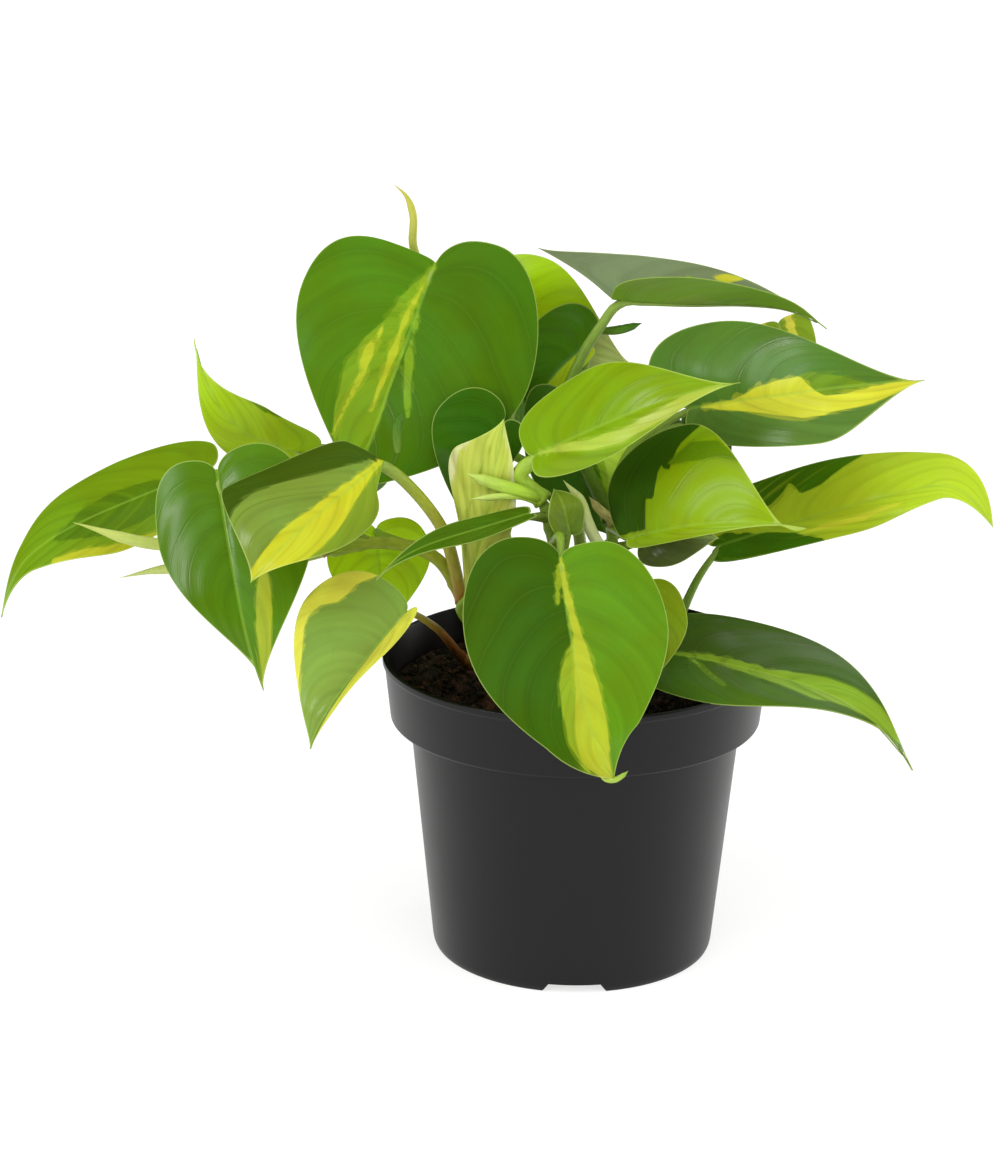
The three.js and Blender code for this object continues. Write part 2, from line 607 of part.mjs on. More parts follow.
// A leaf in one piece: its blade and its stalk, which ends a hair off the stem that carries it
// and off the stalks that were placed before it.
function leafSolid(leaf, stems, stalks) {
  const stem = stems[leaf.stem];
  const root = stem.curve.getPointAt(leaf.at);
  const frame = midribFrame(leaf);
  const seat = frame.on(0.03).addScaledVector(frame.up, -0.4);
  const path = [root.toArray(), ...(leaf.via ?? []), seat.toArray()];
  const [thick, thin] = leaf.stalk ?? [STALK_ROOT_RADIUS, STALK_TIP_RADIUS];
  const radiusAt = (u) => THREE.MathUtils.lerp(thick, thin, u);
  const stalkWith = (extra) =>
    solidFrom(stalkGeometry(curveThrough(path), (u) => radiusAt(u) + extra, STALK_SIDES, STALK_STEPS));
  const stalk = stalkWith(0);
  let solid = solidFrom(bladeGeometry(leaf)).add(stalk);
  if (leaf.bract) solid = solid.add(spindle(leaf.bract, leaf.bractRadius ?? BRACT_RADIUS));
  const kept = largestPiece(cutBack(solid, [stem.sleeve, ...stalks]));
  stalks.push(stalkWith(CLEARANCE));
  return kept;
}

// ---------------------------------------------------------------- rolled young leaves and sheaths

// A thin stalk that swells in the middle and ends in a point.
function spindle(path, radius) {
  const swell = (u) => radius * (0.55 + 1.6 * u * (1 - u)) * Math.min(1, 0.2 + 5 * (1 - u));
  return solidFrom(stalkGeometry(curveThrough(path), swell, STALK_SIDES, STALK_STEPS));
}

function spearSolid(spear, stems, stalks) {
  const stem = stems[spear.stem];
  const root = stem.curve.getPointAt(spear.at);
  const whole = (extra) => spindle([root.toArray(), ...spear.path], spear.radius + extra);
  const kept = largestPiece(cutBack(whole(0), [stem.sleeve, ...stalks]));
  stalks.push(whole(CLEARANCE));
  return kept;
}

// ---------------------------------------------------------------- assembly

const plant = new THREE.Group();

function addPiece(name, solid, colour, roughness) {
  const material = new THREE.MeshStandardMaterial({ color: colour, roughness, metalness: 0 });
  const mesh = new THREE.Mesh(geometryFrom(solid), material);
  mesh.name = name;
  plant.add(mesh);
}

const stems = buildStems();
const stalks = [];
addPiece("pot", potSolid(), 0x3a3a3a, 0.4);
addPiece("soil", soilSolid(stems), 0x1d130c, 0.95);
for (const [name, stem] of Object.entries(stems)) {
  addPiece(name, stem.solid, 0x7f9a2c, 0.5);
}
for (const [name, leaf] of Object.entries(LEAVES)) {
  addPiece(name, leafSolid(leaf, stems, stalks), leaf.colour, 0.35);
}
for (const [name, spear] of Object.entries(SPEARS)) {
  addPiece(name, spearSolid(spear, stems, stalks), 0xb4cc56, 0.45);
}

export default plant;
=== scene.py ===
# %% [markdown]
# # A potted philodendron with streaked leaves
#
# The plant is a young heart-leaf philodendron of the streaked kind, in a tapered plastic nursery pot.
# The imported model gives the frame: one solid for each leaf, stem and rolled leaf, the soil and the pot.
# Those solids are coarse, with a few flat triangles for each blade, so each one is replaced here by a
# finer mesh made from the same sizes. The fine mesh adds the veins, the groove of the midrib and the
# thin edge, and it carries the colour fields that the leaf materials read.

# %% load the frame
import math
from functools import partial

import bmesh
import bpy
import numpy as np
from mathutils import Matrix, Vector


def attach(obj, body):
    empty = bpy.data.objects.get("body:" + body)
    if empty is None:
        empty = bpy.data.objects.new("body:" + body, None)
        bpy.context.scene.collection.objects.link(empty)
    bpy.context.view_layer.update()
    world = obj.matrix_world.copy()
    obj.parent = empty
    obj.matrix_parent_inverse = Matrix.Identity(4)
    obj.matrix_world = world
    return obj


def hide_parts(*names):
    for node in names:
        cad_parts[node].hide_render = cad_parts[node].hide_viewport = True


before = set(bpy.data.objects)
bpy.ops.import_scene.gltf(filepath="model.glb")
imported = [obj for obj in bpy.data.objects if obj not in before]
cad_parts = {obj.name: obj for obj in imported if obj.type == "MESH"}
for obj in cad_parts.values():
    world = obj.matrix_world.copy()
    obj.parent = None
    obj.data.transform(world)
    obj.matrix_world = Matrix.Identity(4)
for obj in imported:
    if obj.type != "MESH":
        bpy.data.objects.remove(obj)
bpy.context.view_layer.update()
MM = 0.001
print("CAD solids:", len(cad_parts))

# %% [markdown]
# A few small helpers come first. One turns a colour as written on a colour chart into the linear light
# that the renderer counts in. One adds a node with its settings and links, and gives the output that is
# wanted, so that a chain of nodes reads like a sum. One turns lists of points, faces and painted values
# into an object that sits at the origin, with its place in its mesh.

# %% colours


def linear(hex_colour):
    """An sRGB colour such as "#4b8b06" as linear red, green, blue and alpha."""
    values = [int(hex_colour[i : i + 2], 16) / 255 for i in (1, 3, 5)]
    return [v / 12.92 if v <= 0.04045 else ((v + 0.055) / 1.055) ** 2.4 for v in values] + [1.0]


print("pure green in linear light:", linear("#00ff00"))

# %% nodes and materials


def feed(node, inputs):
    """Sets a node's inputs, given by name or number, or as a list of the first ones. A value that is
    another node's output is linked, and any other is set."""
    for key, value in inputs.items() if isinstance(inputs, dict) else enumerate(inputs):
        if isinstance(value, bpy.types.NodeSocket):
            node.id_data.links.new(value, node.inputs[key])
        else:
            node.inputs[key].default_value = value


def add_node(tree, kind, inputs=(), output=0, **settings):
    """Adds a node with its settings, feeds its inputs, and gives one of its outputs."""
    node = tree.nodes.new(kind)
    for name, value in settings.items():
        setattr(node, name, value)
    feed(node, inputs)
    return node.outputs[output]


def new_material(name):
    """A material, add_node for its own tree, and its Principled shader."""
    material = bpy.data.materials.new(name)
    material.use_nodes = True
    tree = material.node_tree
    return material, partial(add_node, tree), tree.nodes["Principled BSDF"]


print("materials that the frame brings:", len(bpy.data.materials))

# %% meshes


def in_scene(name, data):
    thing = bpy.data.objects.new(name, data)
    bpy.context.scene.collection.objects.link(thing)
    return thing


def make_object(name, points_mm, faces, slots=None, materials=(), fields=None, uv=None):
    """A mesh object from points in millimetres. fields maps a name to one value or colour per point."""
    mesh = bpy.data.meshes.new(name)
    mesh.from_pydata((np.asarray(points_mm, float) * MM).tolist(), [], faces)
    for material in materials:
        mesh.materials.append(material)
    if slots is not None:
        mesh.polygons.foreach_set("material_index", np.asarray(slots, np.int32))
    for field, values in (fields or {}).items():
        values = np.asarray(values, np.float32)
        kind, key = ("FLOAT_COLOR", "color") if values.ndim == 2 else ("FLOAT", "value")
        mesh.attributes.new(field, kind, "POINT").data.foreach_set(key, values.ravel())
    if uv is not None:
        corners = np.zeros(len(mesh.loops), np.int32)
        mesh.loops.foreach_get("vertex_index", corners)
        layer = mesh.uv_layers.new(name="veins")
        layer.data.foreach_set("uv", np.asarray(uv, np.float32)[corners].ravel())
    mesh.polygons.foreach_set("use_smooth", np.ones(len(mesh.polygons), bool))
    mesh.update()
    return in_scene(name, mesh)


# %% [markdown]
# ## Camera
#
# The picture was taken with a long lens from about a metre away, looking down by seventeen degrees.
# The camera stands where a fit of the pot's rim and foot puts it, and is rolled by half a degree.

# %% camera
CAMERA_TARGET = Vector((-0.0237, 0, 0.1174))
CAMERA_DISTANCE = 1.0
CAMERA_ELEVATION = math.radians(17.32)
CAMERA_ROLL = math.radians(0.43)
CAMERA_LENS_MM = 100

back = Vector((0, -math.cos(CAMERA_ELEVATION), math.sin(CAMERA_ELEVATION)))
level_right = Vector((1, 0, 0))
level_up = back.cross(level_right)
right = level_right * math.cos(CAMERA_ROLL) + level_up * math.sin(CAMERA_ROLL)
up = level_up * math.cos(CAMERA_ROLL) - level_right * math.sin(CAMERA_ROLL)
turn = Matrix((right, up, back)).transposed()

camera = in_scene("camera", bpy.data.cameras.new("camera"))
camera.data.lens = CAMERA_LENS_MM
camera.data.clip_end = 100
camera.matrix_world = Matrix.Translation(CAMERA_TARGET + back * CAMERA_DISTANCE) @ turn.to_4x4()
bpy.context.scene.camera = camera
print("camera height above the floor: %.3f m" % camera.matrix_world.translation.z)

# %% [markdown]
# ## Floor and sky
#
# The plant stands on the matt white paper of a studio, which runs far back, so that no edge shows. The
# picture was cut out on pure white. The paper could be lit until it is white, but then it would throw
# its light on the leaves. So it is grey and glows a little, and only a faint shadow is left on it. The
# sky gives soft light from all sides, and shows in no gloss.

# %% floor and sky
FLOOR_HALF_MM = 12000
FLOOR_COLOUR = "#a4a4a2"
FLOOR_GLOW = 0.7
SKY_STRENGTH = 0.6
WHITE = (1, 1, 1, 1)

floor_points = FLOOR_HALF_MM * np.array([(-1, -1, 0), (1, -1, 0), (1, 1, 0), (-1, 1, 0)])
paper, _, shader = new_material("white backdrop paper")
feed(shader, {
    "Base Color": linear(FLOOR_COLOUR), "Roughness": 0.9, "Specular IOR Level": 0.1,
    "Emission Color": WHITE, "Emission Strength": FLOOR_GLOW,
})
floor = make_object("studio_floor", floor_points, [(0, 1, 2, 3)], materials=[paper])

sky = bpy.data.worlds.new("studio sky")
bpy.context.scene.world = sky
sky.use_nodes = True
feed(sky.node_tree.nodes["Background"], {"Color": WHITE, "Strength": SKY_STRENGTH})
sky.cycles_visibility.glossy = False
bpy.context.scene.view_settings.view_transform = "Standard"
print("floor: %.0f m across" % floor.dimensions.x)

# %% [markdown]
# ## Lamps
#
# A photographer would light a glossy plant with two kinds of lamp. Broad ones behind polarising film
# give even light and no glare, so the greens stay deep. A few narrow boxes at the sides and behind give
# the gloss its soft pale patches and the pot its upright gleam.

# %% lamps
PLANT_CENTRE = Vector((-0.02, 0, 0.12))
BROAD_SPREAD = math.radians(60)
BROAD_LAMPS = (  # name, place in metres, watts per square metre
    ("broad key", (-1.1, -1.5, 2.2), 1.5),
    ("broad fill", (1.4, -1.2, 1.6), 0.8),
)
BOXES = (  # name, place in metres, watts, width and height in metres
    ("right strip", (0.8, 0.45, 0.13), 2.2, 0.15, 0.26),
    ("side strip", (1.1, -0.25, 0.35), 1.5, 0.15, 0.7),
    ("front window", (-1.0, -0.8, 0.5), 4.2, 0.18, 0.35),
    ("back box", (0.6, 1.0, 1.25), 3.4, 1.1, 0.7),
)


def add_lamp(name, kind, place, **settings):
    """A lamp that looks at the plant. Only the boxes show in its gloss."""
    lamp = bpy.data.lights.new(name, kind)
    for setting, value in settings.items():
        setattr(lamp, setting, value)
    holder = in_scene(name, lamp)
    holder.location = place
    holder.rotation_euler = (PLANT_CENTRE - Vector(place)).to_track_quat("-Z", "Y").to_euler()
    holder.visible_glossy = kind == "AREA"


for name, place, strength in BROAD_LAMPS:
    add_lamp(name, "SUN", place, energy=strength, angle=BROAD_SPREAD)
for name, place, watts, width, height in BOXES:
    add_lamp(name, "AREA", place, energy=watts, shape="RECTANGLE", size=width, size_y=height)
print("lamps:", len(bpy.data.lights))
# %% [markdown]
# ## The skin of the leaves
#
# A philodendron leaf has a waxy skin over green cells, so it shines softly and its colour lies just
# under the gloss. This kind is streaked: cells that have lost some or all of their green lie in bands
# that leave the midrib and follow the veins, so the edges of a band are ragged along the veins. A photo
# could be pasted on, but a rule stays sharp from all sides. Each leaf mesh carries its ground colour,
# the colours of its lime and yellow bands, and for each point the distance to the nearest band edge in
# millimetres. Its UV map runs across the veins and counts them, so a noise that is stretched on this
# map follows the veins.

# %% kinds of node, and noise along the veins
MATH, VECTOR_MATH, MAP_RANGE = "ShaderNodeMath", "ShaderNodeVectorMath", "ShaderNodeMapRange"
NOISE, ATTRIBUTE, BUMP = "ShaderNodeTexNoise", "ShaderNodeAttribute", "ShaderNodeBump"
HUE_SATURATION = "ShaderNodeHueSaturation"
COLOUR_MIX = dict(kind="ShaderNodeMix", output=2, data_type="RGBA")
SMOOTH = dict(interpolation_type="SMOOTHSTEP")
NOISE_SPAN = (0.3, 0.7)  # nearly all values of a noise lie between these


def vein_noise(node, across, lengthwise, detail=3.0):
    """Noise on the UV map, with this many cells for 1 across and for 1 lengthwise."""
    place = node("ShaderNodeUVMap", uv_map="veins")
    stretched = node(VECTOR_MATH, [place, (across, lengthwise, 1)], operation="MULTIPLY")
    return node(NOISE, {"Vector": stretched, "Scale": 1.0, "Detail": detail})


print("span of a noise:", NOISE_SPAN)

# %% [markdown]
# A band has a solid part whose edge wanders to and fro by a millimetre and a half, and a fainter fringe
# of tongues that reach out further. Thin green lines run through the solid part. The lime bands are
# laid on the ground first, and then the yellow ones.

# %% the bands
RAGGED_MM = 1.5
FRINGE_MM = 2.4
FRINGE_TINT = 0.32
BAND_SOFT_MM = 0.3
BANDS = (("streak", 1.0, 0.3), ("gold", 0.6, 0.05))  # name, raggedness, and green left in its lines


def banded_colour(node):
    """The painted colours of a leaf: its ground, with the bands laid on it."""
    ragged = node(MATH, [vein_noise(node, 2.2, 15), 2 * RAGGED_MM, -RAGGED_MM], operation="MULTIPLY_ADD")
    tongues = vein_noise(node, 1.5, 24)
    spread = node(MATH, [tongues, 2 * FRINGE_MM, -0.8 * FRINGE_MM], operation="MULTIPLY_ADD")
    colour = node(ATTRIBUTE, attribute_name="ground")
    for band, slack, green_lines in BANDS:
        reach = node(ATTRIBUTE, output="Fac", attribute_name=band + "_reach")
        edge = node(MATH, [ragged, slack, reach], operation="MULTIPLY_ADD")
        inside = node(MAP_RANGE, [edge, -BAND_SOFT_MM, BAND_SOFT_MM], **SMOOTH)
        thinned = node(MAP_RANGE, [tongues, 0.56, 0.66, 1.0, 1 - green_lines], **SMOOTH)
        solid = node(MATH, [inside, thinned], operation="MULTIPLY")
        wider = node(MATH, [reach, spread], operation="ADD")
        fringe = node(MAP_RANGE, [wider, -BAND_SOFT_MM, BAND_SOFT_MM, 0, FRINGE_TINT], **SMOOTH)
        amount = node(MATH, [solid, fringe], operation="MAXIMUM")
        colour = node(inputs={0: amount, 6: colour, 7: node(ATTRIBUTE, attribute_name=band)}, **COLOUR_MIX)
    return colour


print("bands:", ", ".join(band[0] for band in BANDS))

# %% [markdown]
# The upper side is waxy: an even, fairly sharp gloss, and veins that hardly differ in colour but lie in
# valleys. The underside has no wax: it is duller and paler, and its veins stand out more. On both, the
# valleys along the veins are darkened as painted shade, and the tone changes softly in broad patches, in
# streaks along the veins and in fine lines.

# %% the leaf materials
VEINS_PER_HALF = 9
VEIN_WANDER = 0.7
VALLEY_SHADE = 0.9
PATCHES_PER_METRE = 55  # 18 mm wide
PATCH_HUES = (0.492, 0.508)
EDGE_HEX, EDGE_TINT = "#b7c96a", 0.4


def leaf_skin(name, roughness, gloss, vein_hex, vein_tint, rib_tint, fade=0.0, fade_hex=None):
    """Leaf skin. fade is how far the colours go towards fade_hex, as they do on the underside."""
    material, node, shader = new_material(name)
    body = node("ShaderNodeTexCoord", output="Object")
    fine = vein_noise(node, 7, 150, 4.0)
    broad = node(NOISE, {"Vector": body, "Scale": PATCHES_PER_METRE, "Detail": 3.0})
    label = node("ShaderNodeSeparateXYZ", [node("ShaderNodeUVMap", uv_map="veins")], output="Y")
    wander = node(MATH, [vein_noise(node, 1.5, 4, 2.0), VEIN_WANDER], operation="MULTIPLY")
    counted = node(MATH, [label, VEINS_PER_HALF, wander], operation="MULTIPLY_ADD")
    to_vein = node(MATH, [counted, 0.5], operation="PINGPONG")

    tone = node(MAP_RANGE, [fine, *NOISE_SPAN, 0.97, 1.03], **SMOOTH)
    # the last row darkens the valleys along the veins: painted shade
    for pattern, low, high, darkest, lightest in (
        (broad, 0.25, 0.75, 0.92, 1.08),
        (vein_noise(node, 1.2, 9), *NOISE_SPAN, 0.92, 1.08),
        (to_vein, 0, 0.25, VALLEY_SHADE, 1),
    ):
        shading = node(MAP_RANGE, [pattern, low, high, darkest, lightest], **SMOOTH)
        tone = node(MATH, [tone, shading], operation="MULTIPLY")
    hue = node(MAP_RANGE, [broad, *NOISE_SPAN, *PATCH_HUES], **SMOOTH)
    colour = node(HUE_SATURATION, {"Color": banded_colour(node), "Value": tone, "Hue": hue})

    vein = node(MAP_RANGE, [to_vein, 0.05, 0], **SMOOTH)
    to_rib = node(ATTRIBUTE, output="Fac", attribute_name="rib_gap")
    to_edge = node(ATTRIBUTE, output="Fac", attribute_name="edge_gap")
    for mark, tint, line_hex in (
        (vein, vein_tint, vein_hex),
        (node(MAP_RANGE, [to_rib, 0.75, 0.25], **SMOOTH), rib_tint, vein_hex),
        (node(MAP_RANGE, [to_edge, 0.4, 0.1], **SMOOTH), EDGE_TINT, EDGE_HEX),
    ):
        amount = node(MAP_RANGE, [mark, 0, 1, 0, tint], **SMOOTH)
        colour = node(inputs={0: amount, 6: colour, 7: linear(line_hex)}, **COLOUR_MIX)
    if fade:
        colour = node(inputs={0: fade, 6: colour, 7: linear(fade_hex)}, **COLOUR_MIX)

    rough = node(MAP_RANGE, [broad, *NOISE_SPAN, roughness - 0.05, roughness + 0.06], **SMOOTH)
    sunk = node(MATH, [vein, -0.8, fine], operation="MULTIPLY_ADD")
    bump = node(BUMP, {"Strength": 0.25, "Distance": 0.12 * MM, "Height": sunk})
    feed(shader, {"Base Color": colour, "Roughness": rough, "Specular IOR Level": gloss, "Normal": bump})
    return material


LEAF_TOP = leaf_skin("waxy leaf, upper side", 0.24, 0.18, "#8fb43a", 0.04, 0.3)
LEAF_UNDER = leaf_skin("leaf, dull underside", 0.46, 0.15, "#a9bf6c", 0.2, 0.5, 0.15, "#8fae4a")
print("nodes in the leaf skin:", len(LEAF_TOP.node_tree.nodes))

# %% [markdown]
# ## The skin of stalks, stems and rolled leaves
#
# Stalks and young stems have the same wax, with fine lines along them. A young leaf comes out rolled
# and almost without green. The thin sheath that wrapped it dries to a grey papery scrap. Their colours
# change along the length, from rusty brown in the soil to green, so they too come from the mesh.

# %% the stalk materials
STALK_SHEEN = 0.2
LINES_AROUND, LINES_PER_MM = 9, 0.35


def stalk_skin(name, roughness, line_contrast, coat, bump_strength):
    """Skin with fine lines along it, which are darker and lighter and a little raised."""
    material, node, shader = new_material(name)
    lines = vein_noise(node, LINES_AROUND, LINES_PER_MM, 5.0)
    shade = node(MAP_RANGE, [lines, *NOISE_SPAN, 1 - line_contrast, 1 + line_contrast])
    colour = node(HUE_SATURATION, {"Color": node(ATTRIBUTE, attribute_name="ground"), "Value": shade})
    bump = node(BUMP, {"Strength": bump_strength, "Distance": 0.25 * MM, "Height": lines})
    feed(shader, {
        "Base Color": colour, "Roughness": roughness, "Specular IOR Level": STALK_SHEEN,
        "Coat Weight": coat, "Normal": bump,
    })
    return material


PETIOLE = stalk_skin("smooth leaf stalk", 0.36, 0.14, 0.05, 0.4)
STEM = stalk_skin("vine stem skin", 0.42, 0.18, 0.0, 0.5)
ROLLED = stalk_skin("rolled young leaf", 0.4, 0.08, 0.05, 0.4)
SHEATH = stalk_skin("dry papery sheath", 0.7, 0.25, 0.0, 0.9)
print("leaf and stalk materials:", len((LEAF_TOP, LEAF_UNDER, PETIOLE, STEM, ROLLED, SHEATH)))
# %% [markdown]
# ## Where stems and leaves go
#
# A heart leaf could be cut from a picture or sculpted, but every leaf here has its own turn, fold and
# length, so one rule with a few sizes serves better, and it is the rule that the frame's solids follow.
# These tables hold the sizes, in millimetres. A stem is a path of points. A leaf grows from its stem at
# a share of the stem's length, and its stalk goes by the points of via to the base of the blade. face
# is the way its upper side looks, and half is the width of one half of the blade. The midrib bows up
# by arch and, late on its way, by hook, and aside by sway. A half lifts off the midrib by its fold and
# bends on towards the edge by its curl, both in degrees. lobe, belly, shoulder and taper shape its
# edge. A pair of values is for the two halves, right and left, seen from the stalk to the tip with the
# upper side up.

# %% the stems, in millimetres
STEMS = {
    "stem_front": dict(
        radius=2.4, path=[(0, -2, 46), (0, -8, 84), (-3, -16, 115), (-8, -20, 138), (-11, -20, 150)],
    ),
    "stem_left": dict(
        radius=2.5,
        path=[(-20, -8, 46), (-21, -9, 84), (-32, -16, 110), (-43, -15, 130), (-60, -12, 134),
              (-76, -13, 131)],
    ),
    "stem_low": dict(radius=2.2, path=[(-31, 18, 46), (-33, 16, 84), (-36, 6, 92)]),
    "stem_middle": dict(
        radius=2.4,
        path=[(-12, 14, 46), (-14, 13, 84), (-20, 11, 118), (-27, 12, 150), (-35, 18, 178), (-40, 23, 196)],
    ),
    "stem_right": dict(radius=2.4, path=[(14, 8, 46), (14, 7, 84), (12, 0, 115), (10, -4, 139)]),
    "stem_edge": dict(radius=2.2, path=[(26, 14, 46), (27, 13, 84), (30, 10, 97)]),
    "stem_back": dict(
        radius=2.4, path=[(4, 32, 46), (4, 33, 84), (2, 38, 118), (-4, 46, 150), (-8, 51, 176)],
    ),
}
print("stems:", ", ".join(STEMS))

# %% leaves in front and above
FRONT_LEAVES = {
    "leaf_front_heart": dict(
        stem="stem_front", at=0.87, via=[(-6, -31, 142)], base=(-6, -42, 139), tip=(7, -70, 79),
        face=(0.05, -1, 0.5), half=(31, 29), lobe=(0.1, 0.06), sway=2, fold=10, curl=-25,
        belly=(0.3, 0.34), taper=(0.42, 0.42), drip=(3, 0, 1),
        bract=[(5.6, -69.4, 82), (7.4, -70, 80), (10, -70.2, 79.8), (12.4, -70.6, 81.4), (14, -71, 83)],
        bract_radius=0.9,
    ),
    "leaf_front_narrow": dict(
        stem="stem_front", at=0.95, via=[], base=(-15, -27, 148), tip=(-60, -47, 133), face=(0, -0.4, 1),
        half=(5, 6), lobe=0.02, belly=0.4, fold=25, curl=-20, arch=2,
    ),
    "leaf_centre_lime": dict(
        stem="stem_front", at=1, via=[(-18, -21, 158)], stalk=(2.7, 2.3), base=(-14, -25, 165),
        tip=(45, -46, 193), face=(-0.15, -1, 0.7), half=(10, 18.5), lobe=(0.02, 0.05), belly=(0.3, 0.36),
        taper=(0.1, 0), fold=(14, 10), curl=(-50, -20),
    ),
    "leaf_cream": dict(
        stem="stem_left", at=0.5, via=[(-36, -20, 116)], base=(-34, -22, 118), tip=(-23, -20, 175),
        face=(0.1, -1, 0.1), half=(9, 14), lobe=(-0.05, -0.36), belly=(0.45, 0.76), shoulder=(0.3, 0.1),
        fold=5, curl=-10, wave=1.3, waves=4, taper=(0.4, 0.3), arch=2, hook=1,
    ),
    "leaf_small_dark": dict(
        stem="stem_middle", at=0.6, via=[(-26, 3, 164)], base=(-23, -9, 171), tip=(-38, -12, 148),
        face=(0, -1, 0.2), half=(19, 9), lobe=(0.2, 0.1), taper=0.4, arch=2, hook=1,
    ),
    "leaf_top_heart": dict(
        stem="stem_middle", at=0.9, via=[(-40, 21, 208)], base=(-44, 14, 215), tip=(-68, -8, 150),
        face=(-0.15, -1, 0.3), half=(37, 40), lobe=(0.02, 0.15), fold=10, curl=-25, belly=(0.26, 0.36),
        taper=(0.3, 0.6), arch=1, hook=1,
    ),
}
print("leaves in front and above:", len(FRONT_LEAVES))

# %% leaves on the left
LEFT_LEAVES = {
    "leaf_left_streaked": dict(
        stem="stem_left", at=0.6, via=[(-42, -22, 143)], stalk=(2, 1.8), base=(-58, -35, 166),
        tip=(-96, -57, 135), face=(-0.1, -1, 0.5), half=(28, 13), lobe=(-0.08, -0.15), belly=(0.76, 0.4),
        shoulder=(0, 0.22), fold=(10, 20), curl=(-50, -60),
        bract=[(-54, -33, 168), (-54, -34, 176), (-53, -34, 181)],
    ),
    "leaf_left_heart": dict(
        stem="stem_left", at=1, via=[(-92, -14, 142)], base=(-108, -25, 159), tip=(-94, -40, 96),
        face=(-0.2, -1, 0.3), half=(22, 27), lobe=(0.08, 0.1), fold=10, curl=-25, belly=0.24,
        taper=(-0.25, 0.1),
    ),
    "leaf_low_left": dict(
        stem="stem_low", at=1, via=[(-44, -25, 112)], base=(-51, -45, 123), tip=(-79, -60, 85),
        face=(-0.4, -1, 0.4), half=(27, 12), lobe=(0.08, 0.02), fold=(10, 65), curl=(-20, -20),
    ),
    "leaf_behind_stalks": dict(
        stem="stem_left", at=0.8, via=[(-60, -4, 134)], base=(-62, 2, 134), tip=(-58, -4, 104),
        face=(0, -1, 0.3), half=16, lobe=0.1,
    ),
    "leaf_far_left": dict(
        stem="stem_left", at=0.95, via=[(-96, -2, 146)], base=(-114, 7, 151), tip=(-177, -5, 113),
        face=(-0.3, -0.5, 0.9), half=(20, 15), lobe=0.08, belly=(0.3, 0.4), fold=(12, -8), arch=5.5,
        hook=5, wave=0.6, drip=(0, 0, -6),
    ),
    "leaf_upper_left": dict(
        stem="stem_left", at=0.9, via=[(-80, 6, 142)], base=(-86, 17, 154), tip=(-117, 6, 193),
        face=(-0.3, -1, 0.5), half=(10, 9), lobe=0.12, fold=(8, 10), belly=(0.34, 0.3), taper=(-0.3, 0),
        sway=-8,
    ),
}
print("leaves on the left:", len(LEFT_LEAVES))

# %% leaves on the right
RIGHT_LEAVES = {
    "leaf_middle_right": dict(
        stem="stem_right", at=0.98, via=[], base=(14, -20, 138), tip=(66, -44, 149), face=(-0.1, -1, 0.5),
        half=(4, 31), lobe=(0, 0.08), belly=(0.26, 0.4), taper=(0, -0.3), sway=-2, fold=(20, 10),
        curl=(-60, -20),
    ),
    "leaf_upper_right": dict(
        stem="stem_right", at=1, via=[(15, 4, 158)], base=(33, -5, 175), tip=(101, -25, 189),
        face=(0, -1, 0.4), half=(16, 25), lobe=(0.02, 0.18), belly=(0.55, 0.14), taper=(0.16, -0.05),
        wave=0.8,
    ),
    "leaf_top_right": dict(
        stem="stem_right", at=1, via=[(-4, 7, 171), (0, 8, 186), (6.5, 9, 197)], base=(10, 10, 205),
        tip=(76, 20, 194), face=(0, -0.1, 1), half=(18, 20), lobe=(0.02, 0.33), pointed=(False, True),
        belly=(0.26, 0.12), taper=(0.16, 0), fold=(50, 42), curl=(-10, -20), arch=1, hook=4,
        stalk=(2.4, 1.6), bract=[(5, 14, 194), (12, 12, 195), (19, 13, 197)],
    ),
    "leaf_right_long": dict(
        stem="stem_edge", at=1, via=[(39, 16, 116)], base=(44, 20, 124), tip=(127, -8, 155),
        face=(0, -1, 0.8), half=(9, 17.5), lobe=(0.02, 0.05), belly=(0.45, 0.12), taper=(0.5, 0.95),
        wave=1, drip=(-1, 0, -16),
    ),
    "leaf_low_right": dict(
        stem="stem_edge", at=0.9, via=[], base=(24, -15, 101), tip=(100, -45, 74), face=(0.2, -0.35, 1),
        half=(22, 27), lobe=(0.03, 0.1), belly=(0.27, 0.28), taper=(-0.3, 0.1), arch=8, hook=6,
    ),
}
print("leaves on the right:", len(RIGHT_LEAVES))

